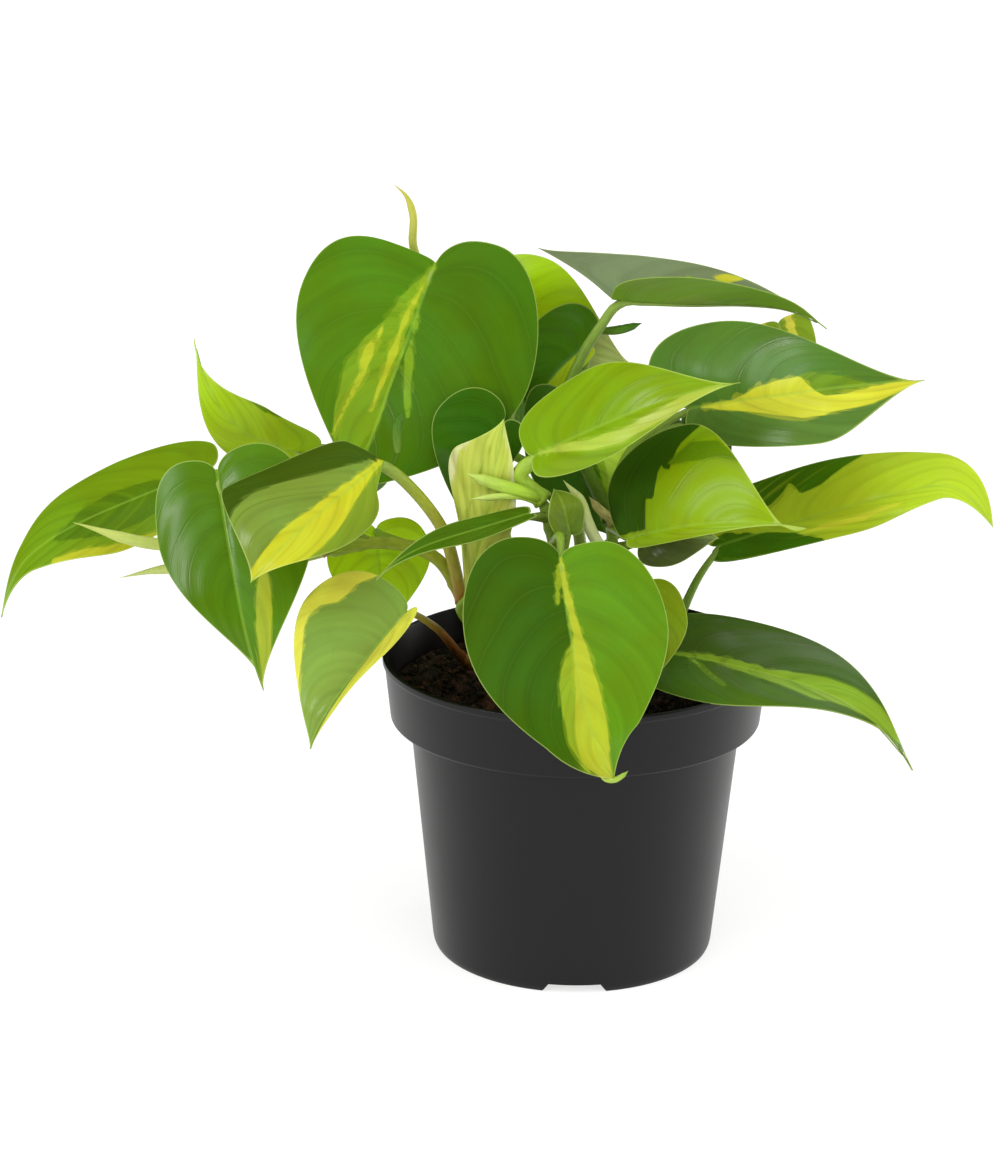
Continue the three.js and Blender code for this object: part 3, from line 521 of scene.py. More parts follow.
# %% leaves half hidden in the middle
MIDDLE_LEAVES = {
    "leaf_behind_front": dict(
        stem="stem_right", at=0.85, via=[], base=(18, -25, 124), tip=(19, -38, 95), face=(0.2, -1, 0.4),
        half=(16, 14), lobe=0.1,
    ),
    "leaf_under_right": dict(
        stem="stem_right", at=0.9, via=[], base=(20, -8, 134), tip=(43, -8, 135), face=(0, -1, 0.4),
        half=(8.5, 8), lobe=0.1,
    ),
    "leaf_new_folded": dict(
        stem="stem_front", at=0.8, via=[], base=(-3, -24, 141), tip=(-8, -22, 154), face=(0.4, -1, 0),
        half=(6, 6), lobe=0.1, belly=0.5, taper=0.5, fold=25, arch=2, hook=2,
    ),
    "leaf_behind_top": dict(
        stem="stem_right", at=1, via=[(30, 16, 156), (52, 34, 176)], base=(62, 30, 193.5),
        tip=(70, 24, 168), face=(0, -1, 0.1), half=(10, 10), lobe=0.05, belly=0.15, taper=0.3,
    ),
    "leaf_behind_lime": dict(
        stem="stem_back", at=0.99, via=[(-24, 52, 190)], base=(-28, 42, 192), tip=(16, 38, 179),
        face=(0.1, -1, 0), half=(19, 24), lobe=0.1,
    ),
    "leaf_behind_dark": dict(
        stem="stem_back", at=0.78, via=[(-3, 36, 164), (0, 29, 171)], base=(4, 27, 187),
        tip=(-16, 26, 161), face=(0, -1, 0.1), half=(16, 5), lobe=(0.18, 0), belly=(0.18, 0.45),
        taper=(0, 0.3), fold=4, curl=-10, sway=3, arch=1, hook=1,
    ),
    "leaf_inner_dark": dict(
        stem="stem_back", at=0.6, via=[(-3, 28, 151)], base=(-4, 18, 172), tip=(9, 10, 131),
        face=(0, -1, 0.1), half=(17, 20), lobe=0.15, belly=0.4, taper=(0.5, 0.85),
    ),
}
print("leaves half hidden in the middle:", len(MIDDLE_LEAVES))

# %% leaves at the back
BACK_LEAVES = {
    "leaf_back_high": dict(
        stem="stem_back", at=0.93, via=[], base=(-14, 64, 178), tip=(-22, 90, 128), face=(-0.1, 1, 0.5),
        half=22,
    ),
    "leaf_back_left": dict(
        stem="stem_back", at=0.7, via=[(-36, 44, 152)], base=(-74, 40, 146), tip=(-100, 60, 110),
        face=(-0.3, 1, 0.6), half=(22, 18),
    ),
    "leaf_back_right": dict(
        stem="stem_back", at=0.6, via=[(16, 36, 150)], base=(33, 38, 160), tip=(38, 60, 118),
        face=(0.2, 1, 0.5), half=15,
    ),
    "leaf_back_low": dict(
        stem="stem_back", at=0.35, via=[(-3, 50, 103)], base=(-4, 62, 106), tip=(-8, 92, 58),
        face=(0, 1, 0.6), half=21,
    ),
    "leaf_back_side": dict(
        stem="stem_back", at=0.5, via=[(26, 42, 130)], base=(52, 38, 132), tip=(88, 64, 126),
        face=(0, 0.2, 1), half=16,
    ),
}
print("leaves at the back:", len(BACK_LEAVES))

# %% rolled leaves, and all leaves in one table
SPEARS = {
    "spear_top": dict(
        stem="stem_middle", at=0.99, radius=1.35,
        path=[(-47, 25, 208), (-51, 25, 218), (-51, 25, 227), (-53, 25, 233), (-57, 25, 237)],
    ),
    "spear_crown_upper": dict(
        stem="stem_front", at=1, radius=2, path=[(-17, -25, 154), (-26, -26, 157), (-34, -27, 160)],
    ),
    "spear_crown_lower": dict(
        stem="stem_front", at=0.98, radius=1.1, path=[(-18, -25, 152.6), (-33, -30, 153)],
    ),
    "spear_sheath": dict(
        stem="stem_right", at=0.97, radius=1.5, path=[(9.6, -8.6, 141), (6, -11, 145), (3, -12, 149)],
    ),
    "spear_pale": dict(
        stem="stem_right", at=0.9, radius=2,
        path=[(6, -14, 135), (2.5, -19, 143), (0, -19, 150), (-5, -19, 156)],
    ),
    "spear_left_upper": dict(
        stem="stem_left", at=1, radius=2, path=[(-100, -9, 132), (-130, -14, 134), (-152, -20, 142)],
    ),
    "spear_left_lower": dict(
        stem="stem_left", at=0.95, radius=1.8, path=[(-100, -6, 124), (-126, -5, 123), (-140, -8, 121)],
    ),
}
LEAVES = {**FRONT_LEAVES, **LEFT_LEAVES, **RIGHT_LEAVES, **MIDDLE_LEAVES, **BACK_LEAVES}
print("leaves:", len(LEAVES), "rolled leaves:", len(SPEARS))

# %% [markdown]
# ## The shape of a leaf
#
# The midrib is a bowed line from the stalk to the tip. Each half of the blade is a fan of lines that
# leave the midrib and end on the leaf's edge, much as the veins do. The edge of one half is three cubic
# curves: round the lobe, out to the widest place, and in to the tip. A point of the blade is given by
# how far it lies along the midrib and how far across it lies, with 1 at the widest place.

# %% the edge of a blade
EDGE_SHAPE = dict(lobe=0.12, belly=0.26, shoulder=0.22, taper=0.16)
LOBE_END, WIDEST = 0.2, 0.48


def unit(v):
    return v / np.linalg.norm(v, axis=-1, keepdims=True)


def side_value(value, hand):
    """A leaf's own value for one half: hand is 1 for the right half and -1 for the left."""
    return value[0 if hand > 0 else 1] if isinstance(value, tuple) else value


def cubic(points, u):
    p = np.array(points, float)
    v, u = (1 - u)[..., None], u[..., None]
    return v**3 * p[0] + 3 * v * v * u * p[1] + 3 * v * u * u * p[2] + u**3 * p[3]


def heart_edge(leaf, hand, q):
    """The edge of one half for q from 0 to 1: how far along the midrib, and how far across."""
    lobe, belly, shoulder, taper = (side_value(leaf.get(k, v), hand) for k, v in EDGE_SHAPE.items())
    if side_value(leaf.get("pointed", False), hand):
        back_points = [(0, 0), (-0.2 * lobe, 0.3), (-0.55 * lobe, 0.55), (-lobe, 0.95)]
        swell_points = [(-lobe, 0.95), (-0.75 * lobe, 0.82), (-0.3 * lobe, 0.95), (belly, 1)]
    elif lobe < 0:
        back_points = [(0, 0), (-0.33 * lobe, 0.14), (-0.67 * lobe, 0.28), (-lobe, 0.42)]
        swell_points = [(-lobe, 0.42), (-1.35 * lobe, 0.57), (belly - shoulder, 1), (belly, 1)]
    else:
        back_points = [(0, 0), (-0.5 * lobe, 0.02), (-lobe, 0.14), (-lobe, 0.42)]
        swell_points = [(-lobe, 0.42), (-lobe, 0.76), (belly - shoulder, 1), (belly, 1)]
    run_points = [(belly, 1), (belly + 0.4 * (1 - belly), 1), (0.8 + 0.1 * belly, taper), (1, 0)]
    back = cubic(back_points, q / LOBE_END)
    swell = cubic(swell_points, (q - LOBE_END) / (WIDEST - LOBE_END))
    run = cubic(run_points, (q - WIDEST) / (1 - WIDEST))
    q = q[..., None]
    return np.where(q < LOBE_END, back, np.where(q < WIDEST, swell, run))


print("widest place of an even leaf:", heart_edge({}, 1, np.array([WIDEST]))[0])

# %% the midrib
LATE_PEAK = 9.48  # gives the late bow a height of 1
DRIP_START = 0.8
SLOPE_STEP = 0.01
DEFAULT_ARCH, DEFAULT_HOOK = 4, 3


class Midrib:
    """The bowed line that a blade is built on."""

    def __init__(self, leaf):
        self.leaf = leaf
        self.base = np.array(leaf["base"], float)
        chord = np.array(leaf["tip"], float) - self.base
        self.length = float(np.linalg.norm(chord))
        self.forward = chord / self.length
        face = np.array(leaf["face"], float)
        self.up = unit(face - self.forward * face.dot(self.forward))
        self.side = np.cross(self.forward, self.up)
        self.drip = np.array(leaf.get("drip", (0, 0, 0)), float)

    def on(self, s):
        """The point at share s of the midrib."""
        s = np.asarray(s, float)[..., None]
        bow = 4 * s * (1 - s)
        late = LATE_PEAK * s**3 * (1 - s)
        lift = self.leaf.get("arch", DEFAULT_ARCH) * bow + self.leaf.get("hook", DEFAULT_HOOK) * late
        sway = self.leaf.get("sway", 0) * bow
        drip = self.drip * np.maximum(0, (s - DRIP_START) / (1 - DRIP_START)) ** 2
        return self.base + self.forward * self.length * s + self.up * lift + self.side * sway + drip

    def slope(self, s):
        s = np.asarray(s, float)
        return unit(self.on(s + SLOPE_STEP) - self.on(s - SLOPE_STEP))


blade_lengths = [Midrib(leaf).length for leaf in LEAVES.values()]
print("blades from %.0f to %.0f mm long" % (min(blade_lengths), max(blade_lengths)))

# %% [markdown]
# A half could be flat, or one bent sheet. On the plant it rises from the midrib at an angle, its fold,
# and then bends over, its curl, so its cross-section is an arc. The crease at the midrib is rounded, and
# a few leaves have an edge that waves up and down.

# %% the surface around the midrib
CREASE_ROUND = 1.2
DEFAULT_FOLD, DEFAULT_CURL, DEFAULT_WAVES = 12, -24, 3
LEFT_WAVE_SHIFT = 1.7


def blade_points(leaf, rib, hand, along, across, q):
    """Points of one half's middle surface, and the surface's normals there."""
    start = np.maximum(along, 0)
    tangent = rib.slope(start)
    centre = rib.on(start) + tangent * ((along - start) * rib.length)[..., None]
    up = unit(rib.up - tangent * (tangent @ rib.up)[..., None])
    out = np.cross(tangent, up) * hand
    fold = math.radians(side_value(leaf.get("fold", DEFAULT_FOLD), hand))
    curl = math.radians(side_value(leaf.get("curl", DEFAULT_CURL), hand))
    half = side_value(leaf["half"], hand)
    bend = curl * across
    sideways = half / curl * (np.sin(fold + bend) - math.sin(fold))
    lift = half / curl * (math.cos(fold) - np.cos(fold + bend))
    crease = half * across / CREASE_ROUND
    lift = lift - math.sin(fold) * CREASE_ROUND * (1 - np.exp(-crease))
    phase = 2 * math.pi * leaf.get("waves", DEFAULT_WAVES) * q + (0 if hand > 0 else LEFT_WAVE_SHIFT)
    lift = lift + leaf.get("wave", 0) * across * np.sin(phase)
    normal = up * np.cos(fold + bend)[..., None] - out * np.sin(fold + bend)[..., None]
    return centre + out * sideways[..., None] + up * lift[..., None], normal


blade_widths = [side_value(leaf["half"], 1) + side_value(leaf["half"], -1) for leaf in LEAVES.values()]
print("blades up to %.0f mm wide" % max(blade_widths))

# %% [markdown]
# ## How each leaf is streaked
#
# The bands were read off the picture, leaf by leaf, and are kept as a few listed rows for each. A row
# says, in hundredths, how far along the midrib it is, where the band's middle lies across the leaf, and
# half its width. Across runs from -100 on the left edge to 100 on the right edge at the widest place.
# Most leaves have a darker ground with lime streaks and yellow golds on it, and on a few the ground is
# lime and the streaks are dark. A pair of grounds is for the two halves. Leaves at the back, which the
# picture doesn't show, get bands of the same kind.

# %% paint of the leaves in front and above
FRONT_PAINT = {
    "leaf_front_heart": dict(
        ground=("#457107", "#6ea313"), streak="#a2bf22", gold="#cad730", light=0.92,
        streaks=[
            [(42, 0, 6), (55, 10, 10), (80, 15, 10), (92, 16, 2)],
            [(4, 2, 2), (12, 5, 3), (22, 9, 1)],
        ],
        golds=[
            [(1, 0, 2), (15, -2, 3), (35, -7, 4.5), (45, -7, 8), (60, -6, 12), (75, -2, 16), (88, 3, 15),
             (98, 3, 5)],
        ],
    ),
    "leaf_front_narrow": dict(ground="#588210"),
    "leaf_centre_lime": dict(
        ground="#88ad0c", streak="#9cc024", gold="#b9d048", light=0.8,
        golds=[
            [(3, 0, 2), (15, 15, 10), (30, 43, 17), (45, 55, 19), (60, 45, 16), (75, 23, 17), (93, 3, 5)],
        ],
    ),
    "leaf_cream": dict(
        ground="#c8d454", streak="#a8b838", gold="#e6e8a4", light=0.75,
        streaks=[
            [(10, 20, 2), (50, 35, 5), (90, 20, 2)],
            [(15, -20, 2), (50, -40, 5), (85, -20, 2)],
            [(20, 0, 2), (60, 5, 3)],
        ],
        golds=[
            [(35, -95, 5), (60, -95, 10), (80, -95, 14), (95, -50, 12)],
            [(50, 95, 4), (80, 60, 10), (97, 15, 8)],
        ],
    ),
    "leaf_small_dark": dict(ground=("#427a08", "#3a6c06")),
    "leaf_top_heart": dict(
        ground=("#5b9009", "#548507"), streak="#8cb61c", gold="#ccda2e", light=0.9,
        streaks=[
            [(2, 0, 2), (10, 5, 5), (20, 10, 8), (30, 12, 10), (40, 17, 17), (50, 20, 20), (70, 18, 20),
             (88, 14, 12)],
            [(22, -1, 1), (35, -4, 2), (48, -10, 3.5), (58, -17, 3.5), (66, -22, 1)],
        ],
        golds=[
            [(6, 2, 1), (25, 7, 2.2), (45, 7, 2.8), (68, 8, 1.2)],
            [(30, 20, 1), (44, 27, 4), (55, 25, 3), (70, 29, 1.6), (86, 32, 0.8)],
        ],
    ),
}
print("painted leaves in front and above:", len(FRONT_PAINT))

# %% paint of the leaves on the left
LEFT_PAINT = {
    "leaf_left_streaked": dict(
        ground=("#47640f", "#8fae28"), streak="#86a43a", gold="#dde12c", light=0.88,
        streaks=[
            [(6, 5, 4), (20, 10, 12), (35, 16, 20), (50, 25, 28), (65, 36, 30), (80, 40, 28),
             (90, 35, 25), (98, 10, 10)],
        ],
        golds=[
            [(2, 1, 3), (10, -2, 7), (20, -8, 14), (30, -13, 20), (40, -20, 28), (50, -25, 34),
             (60, -26, 38), (70, -24, 37), (80, -20, 32), (90, -12, 22), (98, 0, 6)],
        ],
    ),
    "leaf_left_heart": dict(
        ground=("#5e8e08", "#61930a"), streak="#7fae14", gold="#bacb31", light=0.95,
        golds=[[(44, -35, 2), (50, -33, 7), (65, -27, 10), (80, -18, 8), (96, -5, 3)]],
    ),
    "leaf_low_left": dict(
        ground=("#8aac44", "#84a442"), streak="#9cb450", gold="#f0ee50", light=0.8,
        golds=[
            [(-10, 100, 50), (5, 100, 36), (12, 100, 36), (20, 100, 33), (27, 100, 20), (36, 100, 17),
             (46, 100, 24), (52, 98, 30), (60, 80, 22), (70, 65, 18), (82, 45, 14), (97, 10, 4)],
            [(-5, -100, 90), (10, -100, 97), (25, -100, 90), (40, -100, 84), (60, -90, 62), (75, -60, 40),
             (90, -30, 15), (98, -10, 5)],
        ],
    ),
    "leaf_behind_stalks": dict(ground="#9cbe12", light=0.42),
    "leaf_far_left": dict(
        ground="#82ab12", streak="#638c10", gold="#cdd62c", light=0.92,
        streaks=[[(10, -10, 4), (20, -15, 35), (35, -15, 45), (50, -15, 40), (66, -10, 8)]],
        golds=[[(25, -100, 7), (50, -88, 10), (72, -55, 8)]],
    ),
    "leaf_upper_left": dict(
        ground="#b0d420", streak="#6a9412", gold="#c8d838", light=0.71,
        streaks=[[(22, 100, 3), (35, 100, 10), (60, 85, 10), (80, 40, 8), (96, 10, 3)]],
    ),
}
print("painted leaves on the left:", len(LEFT_PAINT))

# %% paint of the leaves on the right
RIGHT_PAINT = {
    "leaf_middle_right": dict(
        ground="#a6cb0c", streak="#3f6a0a", gold="#7ea80c",
        streaks=[
            [(-20, -53, 48), (13, -53, 48), (16, -68, 33), (20, -66, 35), (25, -82, 19), (30, -78, 23),
             (35, -90, 11), (44, -97, 2)],
        ],
        golds=[[(30, -62, 2), (42, -72, 10), (55, -72, 8), (66, -60, 1)]],
    ),
    "leaf_upper_right": dict(
        ground=("#628a34", "#5c882c"), streak="#7c9f1e", gold="#e6e83a", light=0.8,
        streaks=[[(42, -10, 8), (55, -5, 18), (70, 0, 12), (80, 5, 2)]],
        golds=[
            [(6, 2, 2), (10, 3, 5), (20, 8, 10), (30, 7, 20), (40, 11, 29), (50, 15, 35), (60, 30, 16),
             (70, 27, 15), (80, 20, 15), (90, 9, 9), (98, 2, 2)],
        ],
    ),
    "leaf_top_right": dict(
        # the grey-green of the left half is partly the leaf's own colour and partly a painted reflection of
        # the pale surroundings
        ground=("#84b422", "#86986a"), streak="#92b43c", gold="#dede3a", light=0.9,
        streaks=[[(26, 0, 20), (36, -10, 50), (46, 0, 20)]],
        golds=[[(48, -50, 3), (53, -50, 10), (60, -50, 3)]],
    ),
    "leaf_right_long": dict(
        ground="#c0da2a", streak="#4d7d0a", gold="#e2e83c", light=0.73,
        streaks=[
            [(0, 45, 60), (5, 40, 60), (20, 55, 45), (30, 72, 30), (40, 100, 5)],
            [(4, -100, 30), (12, -100, 55), (22, -100, 60), (27, -100, 45), (30, -100, 25)],
            [(30, -100, 25), (34, -95, 45), (42, -90, 40), (50, -95, 22), (60, -100, 5)],
        ],
        golds=[[(32, 50, 3), (42, 50, 9), (55, 50, 10), (68, 42, 3)]],
    ),
    "leaf_low_right": dict(
        ground=("#52791c", "#4e6e24"), streak="#94ba30", gold="#cfdc4a", light=0.85,
        streaks=[
            [(3, 0, 2), (8, 0, 3), (20, -5, 6), (30, 1, 11), (40, 6, 14), (50, 5, 20), (60, 3, 27),
             (70, -8, 19), (80, -12, 13), (92, -8, 4)],
            [(12, 2, 3), (30, 55, 2)],
        ],
    ),
}
print("painted leaves on the right:", len(RIGHT_PAINT))

# %% paint of the leaves half hidden in the middle
MIDDLE_PAINT = {
    "leaf_behind_front": dict(
        ground="#94b010", streak="#86a41c",
        streaks=[[(10, 30, 10), (80, 20, 20)]],
    ),
    "leaf_under_right": dict(ground="#66763c", light=0.7),
    "leaf_new_folded": dict(ground="#86a82a"),
    "leaf_behind_top": dict(
        ground="#86a622", gold="#e2e04a", light=0.7,
        golds=[
            [(-5, 50, 10), (10, 50, 12), (27, 42, 8), (40, 30, 2)],
            [(-5, -35, 12), (30, -30, 14), (60, -20, 10), (80, -10, 3)],
        ],
    ),
    "leaf_behind_lime": dict(
        ground="#a8cc12", streak="#c0cc74", light=0.62,
        streaks=[[(62, 30, 30), (72, 0, 90), (95, 0, 60)]],
    ),
    "leaf_behind_dark": dict(ground=("#3f6c0a", "#a0b414"), streak="#7d9a14", light=0.5),
    "leaf_inner_dark": dict(
        ground=("#3c6414", "#4a7816"), streak="#8cac24", gold="#acc83c", light=0.5,
        streaks=[[(10, -20, 3), (60, -25, 5), (100, -20, 5)], [(10, -90, 8), (100, -90, 10)]],
        golds=[[(10, -50, 10), (40, -50, 20), (70, -50, 20), (100, -40, 20)]],
    ),
}
print("painted leaves half hidden in the middle:", len(MIDDLE_PAINT))

# %% paint of the leaves at the back
BACK_PAINT = {
    "leaf_back_high": dict(
        ground=("#458a0c", "#3d7c0a"), streak="#86b614", gold="#d4dc30",
        streaks=[[(2, 0, 3), (30, -10, 15), (60, -15, 20), (90, -5, 5)]],
        golds=[[(15, -3, 2), (45, -15, 8), (70, -12, 9), (90, -5, 2)]],
    ),
    "leaf_back_left": dict(
        ground="#7fb216", streak="#417f12", gold="#d2dc34",
        streaks=[[(-10, 50, 40), (20, 60, 40), (50, 70, 25), (70, 60, 5)]],
        golds=[[(10, -5, 2), (40, -20, 12), (70, -15, 10), (95, 0, 2)]],
    ),
    "leaf_back_right": dict(
        ground="#3f7f0e", streak="#8ab81a",
        streaks=[[(10, 2, 3), (50, 20, 14), (90, 5, 4)]],
    ),
    "leaf_back_low": dict(
        ground=("#4d8d10", "#84b418"), streak="#a3c62a", gold="#d8de3a",
        streaks=[[(2, -2, 4), (40, 5, 16), (80, 8, 10), (95, 0, 2)]],
        golds=[[(20, 3, 2), (50, 10, 9), (80, 6, 5)]],
    ),
    "leaf_back_side": dict(
        ground="#6fa614", streak="#3f7d12", gold="#d0da36",
        streaks=[[(5, -50, 30), (30, -60, 35), (55, -70, 15)]],
        golds=[[(10, 10, 3), (50, 25, 14), (85, 10, 5)]],
    ),
}
print("painted leaves at the back:", len(BACK_PAINT))

# %% all paint in one table, and what a leaf has by default
PAINT = {**FRONT_PAINT, **LEFT_PAINT, **RIGHT_PAINT, **MIDDLE_PAINT, **BACK_PAINT}
DEFAULT_PAINT = dict(streak="#8db81c", gold="#d4dc36", streaks=[], golds=[], light=1.0)
print("leaves without paint:", set(LEAVES) - set(PAINT) or "none")

# %% from bands to distances and colours
FAR_OUTSIDE_MM = -9.0
LIGHT_ON_LEAVES = 1.8
BRIGHTEST_SKIN = 0.9


def reach_of(bands, along, across, half, length):
    """Millimetres from the nearest band's edge, above zero inside a band."""
    best = np.full(np.shape(along), FAR_OUTSIDE_MM)
    for rows in bands:
        at, middle, width = np.array(rows, float).T / 100
        inside = (np.interp(along, at, width) - np.abs(across - np.interp(along, at, middle))) * half
        beyond = np.maximum(np.maximum(at[0] - along, along - at[-1]), 0) * length
        best = np.maximum(best, inside - beyond)
    return best


def skin_colour(hex_colour, light=1.0):
    """The colours are those of lit leaves, so the light on them is divided out. A leaf, stalk or stem that
    gets less light than the rest has a share of its own, and its colour is painted that much brighter as
    painted light."""
    return [min(BRIGHTEST_SKIN, v / LIGHT_ON_LEAVES / light) for v in linear(hex_colour)[:3]] + [1.0]


print("plain leaves:", sum("streaks" not in paint and "golds" not in paint for paint in PAINT.values()))

# %% [markdown]
# ## From the rule to a leaf mesh
#
# A flat sheet with a Solidify modifier would do for a far-off leaf. Seen close, a real blade is thick
# at the midrib and thin at its edge, has a groove along the upper midrib and a raised midrib below, and
# swells a little between its main veins. So both faces are set point by point. Rows run out from the
# midrib, closer together near the midrib and the edge, where the surface turns fastest.

# %% the lines of the veins
VEIN_SWEEP = 0.28


def smooth_step(x):
    x = np.clip(x, 0, 1)
    return x * x * (3 - 2 * x)


def vein_label(q, share):
    """A number that stays the same along a vein: veins sweep on towards the tip as they run out."""
    return q - VEIN_SWEEP * share**1.3 * smooth_step(q / 0.5)


print("a vein that ends halfway along the edge starts at %.2f" % vein_label(0.5, 1))

# %% one face of a blade
BLADE_ROWS, BLADE_COLUMNS = 85, 22
RIB_CROWDING = 1.6
RIB_THICKNESS, EDGE_THICKNESS = 0.56, 0.2
GROOVE_DEPTH, GROOVE_WIDTH = 0.3, 0.75
QUILT_HEIGHT, QUILT_MARGIN = 0.16, 3
UNDULATION, UNDULATION_MARGIN, UNDULATIONS = 0.45, 8, 9


def blade_face(leaf, rib, hand, face, number):
    """One face of one half: its points, its painted values and its UV map, as grids."""
    rows = np.linspace(0, 1, BLADE_ROWS + 1)
    columns = (1 - np.cos(np.linspace(0, math.pi, BLADE_COLUMNS + 1))) / 2
    q, share = np.meshgrid(rows, columns, indexing="ij")
    edge = heart_edge(leaf, hand, q)
    share = np.where((q == 0) | (q == 1), 0, share)
    spine = q**RIB_CROWDING
    along = spine + (edge[..., 0] - spine) * share
    across = edge[..., 1] * share
    points, normals = blade_points(leaf, rib, hand, along, across, q)
    half = side_value(leaf["half"], hand)
    rib_gap = across * half
    edge_gap = (edge[..., 1] - across) * half
    label = vein_label(q, share)
    free = smooth_step(rib_gap / QUILT_MARGIN) * smooth_step(edge_gap / QUILT_MARGIN)
    swell = QUILT_HEIGHT * (np.abs(np.sin(math.pi * VEINS_PER_HALF * label)) ** 0.8 - 0.6) * free
    wave = np.sin(UNDULATIONS * along + 2.1 * number + hand)
    roll = UNDULATION * smooth_step(rib_gap / UNDULATION_MARGIN) * wave
    groove = GROOVE_DEPTH * np.exp(-((rib_gap / GROOVE_WIDTH) ** 2)) * (1 - q**3) if face > 0 else 0
    thickness = RIB_THICKNESS + (EDGE_THICKNESS - RIB_THICKNESS) * share**0.7
    points = points + normals * (swell + roll - groove + face * thickness / 2)[..., None]
    signed = across * hand
    fields = dict(rib_gap=rib_gap, edge_gap=edge_gap)
    for band in ("streak", "gold"):
        fields[band + "_reach"] = reach_of(leaf[band + "s"], along, signed, half, rib.length)
    for skin in ("ground", "streak", "gold"):
        fields[skin] = skin_colour(side_value(leaf[skin], hand), leaf["light"])
    uv = np.stack([signed * 0.5 + 0.5 + 3 * number, label], axis=-1)
    return points, fields, uv


print("faces on each side of a blade:", 2 * BLADE_ROWS * BLADE_COLUMNS)

# %% [markdown]
# The halves and faces are made apart and then sewn: points that fall together become one, and the
# faces that shrink to a line at the tip go. The leaf ends as one closed shell.

# %% sewing


def sewn(points, quads):
    """Makes points that fall together one. Gives the points that are kept, the faces that are left, and
    their places in quads."""
    _, kept, place = np.unique(np.round(points, 4), axis=0, return_index=True, return_inverse=True)
    rings = [list(dict.fromkeys(face)) for face in place.reshape(-1)[quads].tolist()]
    whole = [i for i, ring in enumerate(rings) if len(ring) > 2]
    return kept, [rings[i] for i in whole], whole


print("a quad with two equal points becomes:", sewn(np.eye(3)[[0, 1, 2, 2]], np.arange(4)[None])[1])

# %% a builder that gathers points, faces and painted values
GREY = (0.5, 0.5, 0.5, 1)
FIELD_DEFAULTS = dict(
    streak_reach=FAR_OUTSIDE_MM, gold_reach=FAR_OUTSIDE_MM, rib_gap=9.0, edge_gap=9.0,
    ground=GREY, streak=GREY, gold=GREY,
)


class Gatherer:
    """Collects patches of one piece, then sews them into one mesh object."""

    def __init__(self):
        self.points, self.uv, self.faces, self.slots = [], [], [], []
        self.fields = {name: [] for name in FIELD_DEFAULTS}
        self.count = 0

    def add_points(self, points, fields, uv):
        """Adds a grid of points, and gives the number of its first one."""
        for name, default in FIELD_DEFAULTS.items():
            values = np.broadcast_to(fields.get(name, default), points.shape[:-1] + np.shape(default))
            self.fields[name].append(values.reshape((-1,) + np.shape(default)))
        self.points.append(points.reshape(-1, 3))
        self.uv.append(uv.reshape(-1, 2))
        self.count += len(self.points[-1])
        return self.count - len(self.points[-1])

    def add_faces(self, quads, slot):
        self.faces.append(quads)
        self.slots.append(np.full(len(quads), slot))

    def add_grid(self, first, rows, columns, slot, flip=False, closed=False):
        """Faces between the rows of a grid of points whose first point is number first."""
        steps = columns if closed else columns - 1
        i, j = np.meshgrid(np.arange(rows - 1), np.arange(steps), indexing="ij")
        a = first + i * columns + j
        b = first + i * columns + (j + 1) % columns
        c, d = b + columns, a + columns
        quads = np.stack([a, d, c, b] if flip else [a, b, c, d], axis=-1)
        self.add_faces(quads.reshape(-1, 4), slot)

    def make(self, name, materials):
        points = np.concatenate(self.points)
        kept, faces, whole = sewn(points, np.concatenate(self.faces))
        slots = np.concatenate(self.slots)[whole]
        fields = {key: np.concatenate(values)[kept] for key, values in self.fields.items()}
        uv = np.concatenate(self.uv)[kept]
        return make_object(name, points[kept], faces, slots, materials, fields, uv)


print("painted values at each point:", ", ".join(FIELD_DEFAULTS))

# %% [markdown]
# A stalk, a stem and a rolled leaf are all a ring carried along a smooth curve. A curve object with a
# bevel would give an even tube. Here the ring has its own outline and colour at each place, so the
# points are set one by one. The ring is turned as little as possible, so the tube doesn't twist.

# %% curves


def distance_along(points):
    """How far along the line through the points each one lies."""
    return np.concatenate([[0], np.cumsum(np.linalg.norm(np.diff(points, axis=0), axis=1))])


def curve_through(points, count):
    """Evenly spaced points on a smooth curve through the given ones."""
    points = np.array(points, float)
    ends = np.vstack([2 * points[0] - points[1], points, 2 * points[-1] - points[-2]])
    dense = []
    for p0, p1, p2, p3 in zip(ends, ends[1:], ends[2:], ends[3:]):
        d0, d1, d2 = (max(np.linalg.norm(b - a) ** 0.5, 0.01) for a, b in ((p0, p1), (p1, p2), (p2, p3)))
        t1 = ((p1 - p0) / d0 - (p2 - p0) / (d0 + d1) + (p2 - p1) / d1) * d1
        t2 = ((p2 - p1) / d1 - (p3 - p1) / (d1 + d2) + (p3 - p2) / d2) * d1
        u = np.linspace(0, 1, 60)[:, None]
        cubed = 2 * (p1 - p2) + t1 + t2
        dense.append(p1 + t1 * u + (3 * (p2 - p1) - 2 * t1 - t2) * u**2 + cubed * u**3)
    dense = np.vstack(dense)
    lengths = distance_along(dense)
    wanted = np.linspace(0, lengths[-1], count)
    return np.stack([np.interp(wanted, lengths, dense[:, k]) for k in range(3)], axis=1)


STEM_CURVES = {name: curve_through(stem["path"], 400) for name, stem in STEMS.items()}
print("longest stem: %.0f mm" % max(distance_along(curve)[-1] for curve in STEM_CURVES.values()))

# %% tubes


def plain_round(turns, u):
    return np.ones(len(turns))


